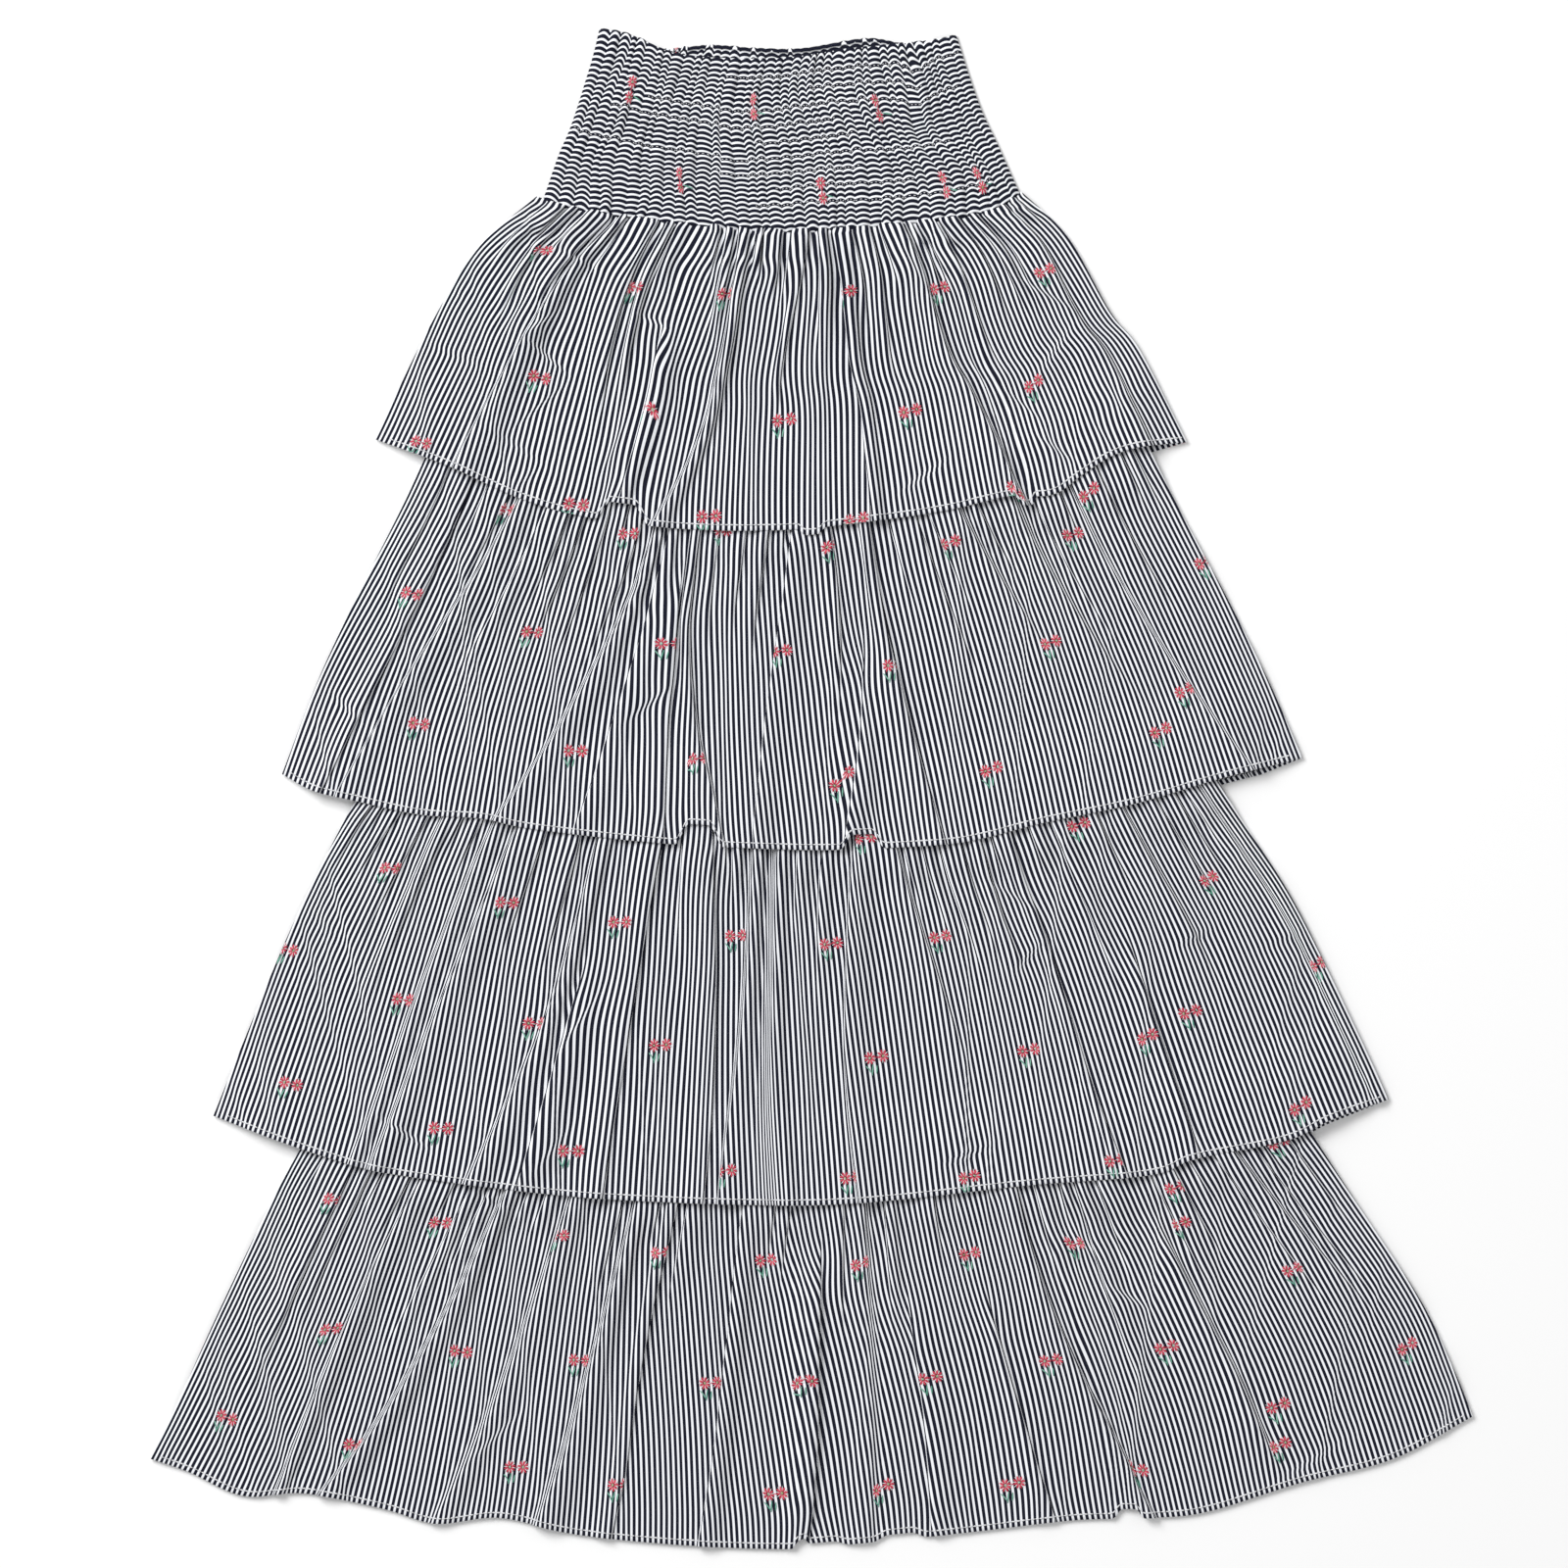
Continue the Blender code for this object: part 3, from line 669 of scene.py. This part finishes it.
def gathered(
    number, area, level, lines, cut, column_step, row_step, seed, crease_count, steep_share, rise_share
):
    """A strip of cloth laid in its folds: a grid whose columns follow the fold lines down."""
    chance = np.random.default_rng(seed)
    depth = middle_depth(area)
    rows = int(depth / row_step) + 1
    shares = np.linspace(0, 1, rows)
    widths = np.array([row_length(area, share) for share in shares])
    curve = fold_curves(lines, shares, widths, chance)
    phases = chance.uniform(0, 6.28, (len(lines), 1))
    waves = chance.uniform(5, 11, (len(lines), 1))
    liveliness = 1 + 0.22 * np.sin(waves * shares + phases)

    # How strongly each fold stands: whole ones all the way, short ones ending, late ones between.
    begin, reach, rise, lean, drop = (column_of(lines, name) for name in Fold._fields[3:])
    whole_from, late_from, fading = 0.9, 0.2, 0.2
    ending = np.clip((reach - shares) / reach, 0, 1)
    main = (reach >= whole_from) & (begin < late_from)
    from_seam = np.where(main, 1.0, np.clip(2.2 * ending, 0, 1))
    fade_in = np.clip((shares - begin) / fading + 0.5, 0, 1)
    fade_out = np.clip((reach - shares) / fading + 0.5, 0, 1)
    strength = np.where(begin > 0, fade_in * fade_out, from_seam)
    strength = strength * strength * (3 - 2 * strength)

    # What cloth each fold hides, in millimetres, out of what the strip is wider than its place.
    gather_most, fold_least, drop_holds, packed_wall = 6.0, 3.5, 6.0, 3.0
    spare = np.maximum(cut / fullness - widths * 1.03, 0)
    first = np.where(begin < 0, 1.0, 1.6) * (~main & (begin <= 0))
    first = first / max(first.sum(), 1) * min(0.5 * spare[0], gather_most * first.sum())
    hidden = first * ending
    rest = spare - hidden.sum(axis=0)
    share_of = main * (0.4 + 0.3 * rise)
    share_of = share_of / share_of.sum()
    kept = max(rest[-1], fold_least * main.sum())
    hidden += share_of * (rest[0] * (1 - shares) + kept * shares)
    hidden += np.where(begin >= late_from, 2.0 * rise, 0) * strength
    hidden += drop_holds * np.clip(drop - 2.5, 0, 2) * shares
    packs = np.clip((drop - 1.1) / 0.4, 0, 1)
    packed_in = packs * np.minimum(hidden, packed_wall * drop)
    tucked_in = hidden - packed_in
    over = np.clip(0.36 * tucked_in - 0.5, 0, 4.2)
    limit = np.interp(shares * depth, (0, tuck, 2 * tuck), (1.3, 3.4, 5.0))
    if number == 0:
        limit = np.interp(shares * depth, (0, 5, tuck), (1.5, 3.4, 4.6))
    high = np.minimum(strength * (rise + 0.06 * hidden), limit) * rise_share

    # The rows, each a line of fold sections with gentle slopes between them.
    slope_foot, slope_run = 7, 3.2
    edges = np.vstack([np.zeros(rows), curve, np.ones(rows)]) * widths
    between = np.maximum(np.ceil((np.diff(edges, axis=0).max(axis=1) - 5) / column_step), 1).astype(int)
    places, along, taken = [], [], []
    for row, share in enumerate(shares):
        spans = np.diff(edges[:, row])
        xs, zs, lost = [np.zeros(1)], [np.zeros(1)], [np.zeros(1)]
        end_x, end_z = 0.0, 0.0
        for k in range(len(lines) + 1):
            if k < len(lines):
                wider = drop[k] * (1 + 0.3 * packs[k])
                out = np.where(fold_out > 0, fold_out * wider, fold_out) + fold_over * over[k, row]
                room_out = 0.46 * (spans[k + 1] if lean[k] > 0 else spans[k])
                room_in = 0.46 * (spans[k] if lean[k] > 0 else spans[k + 1])
                out = np.where(out > 0, out * min(1, room_out / out.max()), out * min(1, room_in / 1.8))
                hides = hidden_sharp * tucked_in[k, row] + hidden_packed * packed_in[k, row]
                tall = fold_high
                if lean[k] < 0:
                    out, tall = -out[::-1], fold_high[::-1]
                    hides = np.append([0.0], hides[:0:-1])
                fold_x = edges[k + 1, row] + out
                fold_z = tall * high[k, row]
            else:
                fold_x, fold_z, hides = np.array([widths[row]]), np.zeros(1), np.zeros(1)
            count = between[k]
            steps = (np.arange(count) + 1) / (count + 1)
            gap = fold_x[0] - end_x
            from_left, from_right = steps * gap, (1 - steps) * gap
            gentle_left = min(max(gap, 1.0), slope_foot + slope_run * end_z)
            gentle_right = min(max(gap, 1.0), slope_foot + slope_run * fold_z[0])
            xs += [end_x + from_left, fold_x]
            falling = end_z * eased(from_left / gentle_left)
            climbing = fold_z[0] * eased(from_right / gentle_right)
            zs += [falling + climbing, fold_z]
            lost += [np.zeros(count), hides]
            end_x, end_z = fold_x[-1], fold_z[-1]
        x, z = np.concatenate(xs), np.concatenate(zs)
        column = np.clip(x / widths[row], 0, 1)
        plan = area(column, np.full(len(column), share))
        lively = np.interp(x, edges[1:-1, row], liveliness[:, row])
        places.append(np.column_stack([plan, z * lively + level(column, share * depth, depth)]))
        arc = running(np.hypot(np.diff(x), np.diff(z)))
        along.append(x)
        taken.append(arc - x + np.cumsum(np.concatenate(lost)))
    places, along, taken = np.array(places), np.array(along), np.array(taken)
    raised, packed = creased(places[..., :2], crease_count, steep_share, chance)
    near_side = np.interp(along / widths[:, None], (0, 0.02, 0.98, 1), (0, 1, 1, 0))
    places[..., 2] += raised * rise_share * near_side

    # What each fold takes of the cloth, beside what it would take if the stripes ran straight.
    halfway = 1 + np.cumsum(np.append(0, between[:-1] + len(fold_out))) + between // 2
    halfway[0], halfway[-1] = 0, along.shape[1] - 1
    held = np.diff(taken[:, halfway], axis=1).T
    steady = held[:, :1] * (1 - shares) + held[:, -1:] * shares
    tension = (cut - steady.sum(axis=0)) / widths
    flat = along * tension[:, None] + taken + packed * near_side
    for k in range(len(lines)):
        off = along - (curve[k] * widths)[:, None]
        passed = 0.5 + 0.5 * np.sign(off) * (1 - np.exp(-np.abs(off) / 24))
        flat = flat + (steady[k] - held[k])[:, None] * passed
    for side, inwards in ((-1, along), (1, widths[:, None] - along)):
        drift = 3.2 * np.sin(chance.uniform(3, 6) * shares + chance.uniform(0, 6.28)) + side * 2.0 * shares
        flat = flat + drift[:, None] * np.exp(-inwards / 45) + side * 2.4 * np.exp(-inwards / 7)
    flat = np.maximum.accumulate(flat, axis=1)
    below = np.broadcast_to((shares * depth)[:, None], flat.shape)
    return Cloth(places, flat, below)


def side_rolled(cloth, steps):
    """Columns added outside both side edges, each so far out and at such a height."""
    for wider in (0.5, -0.5):
        edge, across = cloth.places[:, -1], cloth.across[:, -1]
        away = outwards(edge, cloth.places[:, -2])
        places, flat = [cloth.places], [cloth.across]
        for k, (out, height) in enumerate(steps):
            place = edge + away * out
            place[:, 2] = height + (edge[:, 2] - height) * (1 - (k + 1) / len(steps)) ** 0.5
            places.append(place[:, None])
            flat.append((across + (k + 1) * wider)[:, None])
        down = [cloth.down, *[cloth.down[:, :1]] * len(steps)]
        cloth = Cloth(*(np.concatenate(part, axis=1)[:, ::-1] for part in (places, flat, down)))
    return cloth


def front_level(number):
    """How high a front's upper face lies on what is under it."""

    def at(column, below, depth):
        level = np.full(len(column), front_laid + front_wall)
        if number > 0:
            level += (front_tucked - front_laid) * np.interp(below, (44, 56), (1, 0))
        else:
            level -= front_wall * np.interp(below, (0, 3.0), (1, 0))
        if number < len(tiers) - 1:
            corner = np.interp(column, (0, 0.05, 0.95, 1), (0, 1, 1, 0))
            level += np.interp(depth - below, (0, 33, 58), (hem_lift, hem_lift_at_seam, 0)) * corner
        return level

    return at


tier_poplin = striped_poplin("tier_poplin", "down", 0.57)
front_rows = (1.9, 2.0, 2.2, 2.3)
front_creases = (64, 54, 60, 66)
steep_shares = (0.50, 0.25, 0.18, 0.18)
rise_shares = (1.35, 1.0, 1.0, 1.0)
hem_turn = ((0.25, 0.45), (-0.2, 0.95), (-3.4, 1.0))
side_turn = ((0.5, 2.0), (0.5, 1.5), (-0.6, 1.25))
fronts = []
for number, tier in enumerate(tiers):
    area = tier_area(number, 0.0)
    lines = with_gathers(tier.folds, tier.gathers, np.random.default_rng(40 + number))
    cloth = gathered(
        number, area, front_level(number), lines, tier.cut, column_step=2.1, row_step=front_rows[number],
        seed=50 + number, crease_count=front_creases[number], steep_share=steep_shares[number],
        rise_share=rise_shares[number],
    )
    fronts.append(cloth)
    shown = side_rolled(hem_rolled(cloth, hem_turn), side_turn)
    node = f"tier_{number + 1}_front"
    piece = cloth_piece(f"{node}_cloth", shown, tier_poplin, 2)
    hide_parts(node)
    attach(piece, "root")
    under = f"tier_{number + 1}_back_cloth"
    tier.cut * MM
    tier.long * MM


# Tiers, backs. The same strips under the fronts, pressed flat on the floor by the skirt's weight,
# with the stripes and soft creases showing from below.
backs = []
back_laid, back_tuck_rise = 0.55, 1.5
back_gathers = 8
back_hem_turn = ((0.2, -0.35), (-0.2, -0.7), (-3.0, -0.7))
for number, tier in enumerate(tiers):
    area = tier_area(number, tier.back_drop)

    def back_level(column, below, depth, number=number):
        level = np.full(len(column), back_laid)
        if number > 0:
            level += back_tuck_rise * np.interp(below, (40, 50), (1, 0))
        return level

    mirrored = [
        fold._replace(top=100 - fold.top, mid=100 - fold.mid, hem=100 - fold.hem, lean=-fold.lean)
        for fold in reversed(tier.folds)
    ]
    lines = with_gathers(mirrored, len(mirrored) + back_gathers, np.random.default_rng(60 + number))
    cloth = gathered(
        number, area, back_level, lines, tier.cut, column_step=5.0, row_step=4.5, seed=70 + number,
        crease_count=24, steep_share=0.1, rise_share=0.22,
    )
    backs.append(cloth)
    shown = hem_rolled(cloth, back_hem_turn)
    node = f"tier_{number + 1}_back"
    piece = cloth_piece(f"{node}_cloth", shown, tier_poplin, 2, flip=True)
    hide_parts(node)
    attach(piece, "root")
    tier.cut * MM
    tier.long * MM


# Hem and band stitching. White thread in short stitches: one row close above each hem, and the
# rows of elastic thread across the band, whose stitches sit on the puckers.
def on_cloth(cloth, across, down, lift):
    """The place on a laid cloth of a point given in the cloth's own millimetres."""
    row_step = cloth.down[1, 0] - cloth.down[0, 0]
    row = np.clip(down / row_step, 0, len(cloth.places) - 1.001)
    first = int(row)
    part = row - first
    found = []
    for k, share in ((first, 1 - part), (first + 1, part)):
        place = [np.interp(across, cloth.across[k], cloth.places[k, :, i]) for i in range(3)]
        found.append(np.array(place) * share)
    return found[0] + found[1] + (0, 0, lift)


def thread_piece(name, paths, thickness, tones, material, cells=8):
    """Short threads along paths of the same number of points, as flat-bottomed rounded strands."""
    paths = np.array(paths, float)
    count, points = paths.shape[:2]
    way = np.gradient(paths, axis=1)
    side = np.cross(way, (0, 0, 1))
    side = side / np.maximum(np.linalg.norm(side, axis=2), 1e-9)[..., None]
    end_share, crown_share = 0.45, 1.5
    taper = np.ones(points)
    taper[0] = taper[-1] = end_share
    half = thickness / 2 * taper[None, :, None]
    crown = paths + (0, 0, 1) * half * crown_share
    ring = np.stack([paths + side * half, crown, paths - side * half], axis=2)
    start = (np.arange(count) * points * 3)[:, None]
    faces = []
    for k in range(points - 1):
        for a, b in ((0, 1), (1, 2), (2, 0)):
            faces.append(start + 3 * k + (a, b, b + 3, a + 3))
    faces = np.stack(faces, axis=1).reshape(-1, 4)
    mesh = bpy.data.meshes.new(name)
    mesh.from_pydata((ring.reshape(-1, 3) * MM).tolist(), [], faces.tolist())
    tone = np.floor(np.array(tones) * (cells - 0.01))
    cell = np.repeat(tone, 3 * (points - 1))[:, None]
    over, along = np.array([0.0, 0.0, 1.0, 1.0]), np.array([0.0, 1.0, 1.0, 0.0])
    layout = np.stack(np.broadcast_arrays((cell + 0.1 + 0.8 * over) / cells, 0.05 + 0.9 * along), axis=-1)
    flat = np.stack(np.broadcast_arrays((cell + 0.5) / cells, along), axis=-1)
    piece = finished(name, mesh, material, OFBake=layout, tone=flat)
    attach(piece, "root")
    return piece


def thread(name, dark, bright, palest, roughness):
    """Twisted thread, each stitch a little lighter or darker than the next."""
    material, surface, shade = new_material(name)
    tone = shade.node("ShaderNodeUVMap", {"uv_map": "tone"}, {})
    lightness = tone.node("ShaderNodeSeparateXYZ", {}, {0: tone})
    feed(surface, lightness.between(0.88, 0.92).mix(lightness.mix(dark, bright), palest), "Base Color")
    surface.inputs["Roughness"].default_value = roughness
    surface.inputs["Metallic"].default_value = 0.0
    return material


whites = (0.74, 0.75, 0.78, 1), (0.90, 0.90, 0.92, 1), (0.92, 0.92, 0.94, 1)
white_thread = thread("white_thread", *whites, 0.6)
stitch_chance = np.random.default_rng(81)
hem_stitch_up, hem_stitch_every, hem_stitch_long = 3.1, 3.3, 2.9
hem_thread, elastic_thread = 1.05, 0.6
shortest_seen = 0.8
paths = []
for tier, cloth in zip(tiers, fronts):
    depth = cloth.down[-1, 0]
    for place in np.arange(3.0, tier.cut - 3.0, hem_stitch_every):
        points = []
        for k, crown in enumerate((0.0, 0.12, 0.0)):
            across = place + k * hem_stitch_long / 2
            points.append(on_cloth(cloth, across, depth - hem_stitch_up, 0.05 + crown))
        if np.linalg.norm(points[2] - points[0]) > shortest_seen:
            paths.append(points)
tones = stitch_chance.uniform(0, 1, len(paths))
hem_stitches = thread_piece("hem_stitches", paths, hem_thread, tones, white_thread)


def band_place(column, level):
    down = band_front.down[:, column]
    return np.array([np.interp(level, down, band_front.places[:, column, i]) for i in range(3)])


paths = []
stitched_stripes, elastic_rows = 3, 9
for line in range(1, elastic_rows + 1):
    level = stripe_pitch * (stitched_stripes * line + 0.5)
    worn_from, worn_to = np.sort(stitch_chance.uniform(0, band_front.places.shape[1], 2))
    for column in range(2, band_front.places.shape[1] - 3, 2):
        if not worn_from - 30 < column < worn_to + 30:
            continue
        left, right = band_place(column, level), band_place(column + 1, level)
        points = []
        for beside, up in ((0.0, 0.1), (0.45, 0.3), (0.9, 0.1)):
            points.append(left * (1 - beside) + right * beside + (0, 0, up))
        paths.append(points)
tones = stitch_chance.uniform(0, 1, len(paths))
band_stitches = thread_piece("band_stitches", paths, elastic_thread, tones, white_thread)


# Embroidery. Pairs of eight-petalled flowers in red satin stitch, pale between the petals, with
# green hearts, two thin stems and a leaf, in staggered rows. They follow the cloth into its folds.
reds = (0.56, 0.022, 0.070, 1), (0.91, 0.120, 0.190, 1), (0.96, 0.87, 0.88, 1)
greens = (0.080, 0.370, 0.270, 1), (0.56, 0.80, 0.66, 1), (0.42, 0.46, 0.22, 1)
red_thread = thread("red_thread", *reds, 0.45)
green_thread = thread("green_thread", *greens, 0.5)
petals, petal_strands = 8, 3
petal_from, petal_to = 1.0, 4.1
heart_stitches, heart_half = 5, 0.9
strand_apart, stem_strand_apart = 0.42, 0.34
flower_apart, first_lower = 9.2, 0.4
link_half = 1.1
pair_raised = 1.7
strand_thick = 0.62
numbered_width = 400

band_back_pairs = ((-83, 450), (60, 453))
band_pairs = ((-110, 428), (-36, 417), (40, 417), (-81, 372), (6, 366), (81, 369), (103, 372))
tier_pairs = (
    (
        (-166, 329), (-107, 305), (-52, 301), (19, 302), (78, 304), (143, 316), (-166, 251), (-102, 232),
        (-17, 224), (60, 229), (136, 246), (-238, 210), (-145, 172), (-63, 164), (27, 163), (126, 178),
    ),
    (
        (-186, 170), (-112, 154), (-56, 156), (13, 147), (84, 149), (160, 155), (170, 179), (240, 137),
        (-245, 118), (-171, 95), (-86, 88), (-20, 82), (51, 74), (146, 88), (229, 58), (-240, 38),
        (-145, 22), (-69, 17), (18, 4), (109, 11), (213, 34),
    ),
    (
        (32, -31), (163, -24), (-257, -51), (-187, -71), (-117, -83), (-46, -92), (12, -96), (79, -93),
        (243, -57), (-321, -100), (-250, -130), (-169, -146), (-93, -159), (39, -166), (133, -162),
        (204, -153), (231, -139), (309, -108), (-318, -181), (-227, -209), (-148, -223), (-53, -235),
        (25, -239), (96, -238), (186, -229), (298, -196),
    ),
    (
        (286, -218), (-292, -252), (-227, -268), (-155, -274), (-92, -286), (-28, -290), (31, -292),
        (97, -287), (162, -281), (223, -246), (225, -267), (295, -295), (-294, -331), (-215, -345),
        (-142, -352), (-61, -365), (-4, -363), (72, -363), (147, -352), (217, -344), (365, -342),
        (285, -380), (-359, -387), (-279, -404), (-181, -416), (-117, -427), (-23, -432), (42, -430),
        (123, -428), (199, -420), (286, -404),
    ),
)
stems = (
    ((-3.0, 4.2), (-4.4, 10.8)),
    ((-0.4, 5.0), (-1.2, 9.8)),
    ((-8.2, 5.0), (-5.6, 7.6)),
    ((-6.2, 7.2), (-4.6, 9.4)),
)


def flower_paths(centre, turn, chance):
    """The red stitches of one flower, the pale ones between its petals and those of its heart."""
    red, pale, heart = [], [], []

    def spoke(angle, *reach):
        return np.array(centre) + np.array(reach)[:, None] * (np.cos(angle), np.sin(angle))

    for petal in range(petals):
        for strand in range(petal_strands):
            beside = (strand - (petal_strands - 1) / 2) * strand_apart
            angle = turn + 2 * np.pi * petal / petals
            outer = petal_to - 1.0 * abs(beside) + chance.uniform(-0.15, 0.15)
            sideways = beside * np.array([[0.5], [1.0], [0.6]])
            across = np.array([-np.sin(angle), np.cos(angle)])
            red.append(spoke(angle, petal_from, (petal_from + outer) / 2, outer) + sideways * across)
        angle = turn + 2 * np.pi * (petal + 0.5) / petals
        pale.append(spoke(angle, petal_to - 2.6, petal_to - 1.2, petal_to + 0.1))
    for _ in range(heart_stitches):
        heart.append(spoke(chance.uniform(0, np.pi), -heart_half, 0.0, heart_half))
    return red, pale, heart


def pair_paths(chance, sideways):
    """One pair of flowers with its stems and leaf, about its own middle."""
    red, pale, green = [], [], []
    for centre in ((-flower_apart / 2, first_lower), (flower_apart / 2, -first_lower)):
        petals_red, petals_pale, heart = flower_paths(centre, chance.uniform(0, 0.6), chance)
        red += petals_red
        pale += petals_pale
        green += heart
    for start, end in stems[:1] if sideways else stems:
        steps = np.linspace(0, 1, 3)[:, None]
        for beside in (-stem_strand_apart / 2, stem_strand_apart / 2):
            green.append(np.array(start) + steps * (np.array(end) - np.array(start)) + (beside, 0))
    red.append(np.array([(-link_half, 0.3), (0.0, 0.1), (link_half, -0.1)]))
    pair = {"red": red + pale, "green": green}
    if sideways:
        pair = {colour: [path[:, ::-1] * (1, -1) for path in paths] for colour, paths in pair.items()}
    return pair, len(pale)


def nearest(cloth, x, y):
    """The cloth's own millimetres where it lies nearest a place of the plan, on its upper folds."""
    uppermost = 0.15 * cloth.places[..., 2]
    away = np.hypot(cloth.places[..., 0] - x, cloth.places[..., 1] - y) - uppermost
    row, column = np.unravel_index(np.argmin(away), away.shape)
    return cloth.across[row, column], cloth.down[row, 0]


def embroider(name, cloth, pairs, sideways, lift, seed):
    chance = np.random.default_rng(seed)
    sewn = {"red": [], "green": []}
    for x, y in pairs:
        across, down = nearest(cloth, x, y + (0.0 if sideways else pair_raised))
        pair, pale_count = pair_paths(chance, sideways)
        for colour, high in (("red", 1.0), ("green", 1.25)):
            for path in pair[colour]:
                raised = lift * high * np.array([0.4, 1.0, 0.4])
                points = [on_cloth(cloth, across + a, down + d, up) for (a, d), up in zip(path, raised)]
                sewn[colour].append(points)
            if colour == "red":
                for points in sewn["red"][-pale_count:]:
                    points[:] = [point + (0, 0, 0.5 * lift) for point in points]
    for colour, material in (("red", red_thread), ("green", green_thread)):
        tones = chance.uniform(0, 1, len(sewn[colour]))
        in_pair = np.arange(len(tones)) % (len(tones) // len(pairs))
        if colour == "green":
            tones = np.where(in_pair < 2 * heart_stitches, 0.8 + 0.2 * tones, 0.4 * tones)
        else:
            tones = np.where(in_pair < len(tones) // len(pairs) - pale_count, 0.8 * tones, 0.99)
        piece = thread_piece(f"{name}_{colour}", sewn[colour], strand_thick, tones, material)


def evenly_numbered(cloth, row_step):
    """The same cloth with plain rows and columns as its millimetres, for work that ignores its bows."""
    shape = cloth.across.shape
    across = np.broadcast_to(np.linspace(0, numbered_width, shape[1]), shape)
    down = np.broadcast_to((np.arange(shape[0]) * row_step)[:, None], shape)
    return Cloth(cloth.places, across, down)


embroider("yoke_flowers", evenly_numbered(band_front, band_row), band_pairs, True, 0.35, 90)
embroider("yoke_back_flowers", evenly_numbered(band_back, band_back_row), band_back_pairs, True, 0.3, 89)
for number, cloth in enumerate(fronts):
    embroider(f"tier_{number + 1}_flowers", cloth, tier_pairs[number], False, 0.35, 91 + number)
for number, cloth in enumerate(backs):
    pairs = [(-x - 12, y) for x, y in tier_pairs[number]]
    embroider(f"tier_{number + 1}_back_flowers", cloth, pairs, False, -0.25, 101 + number)
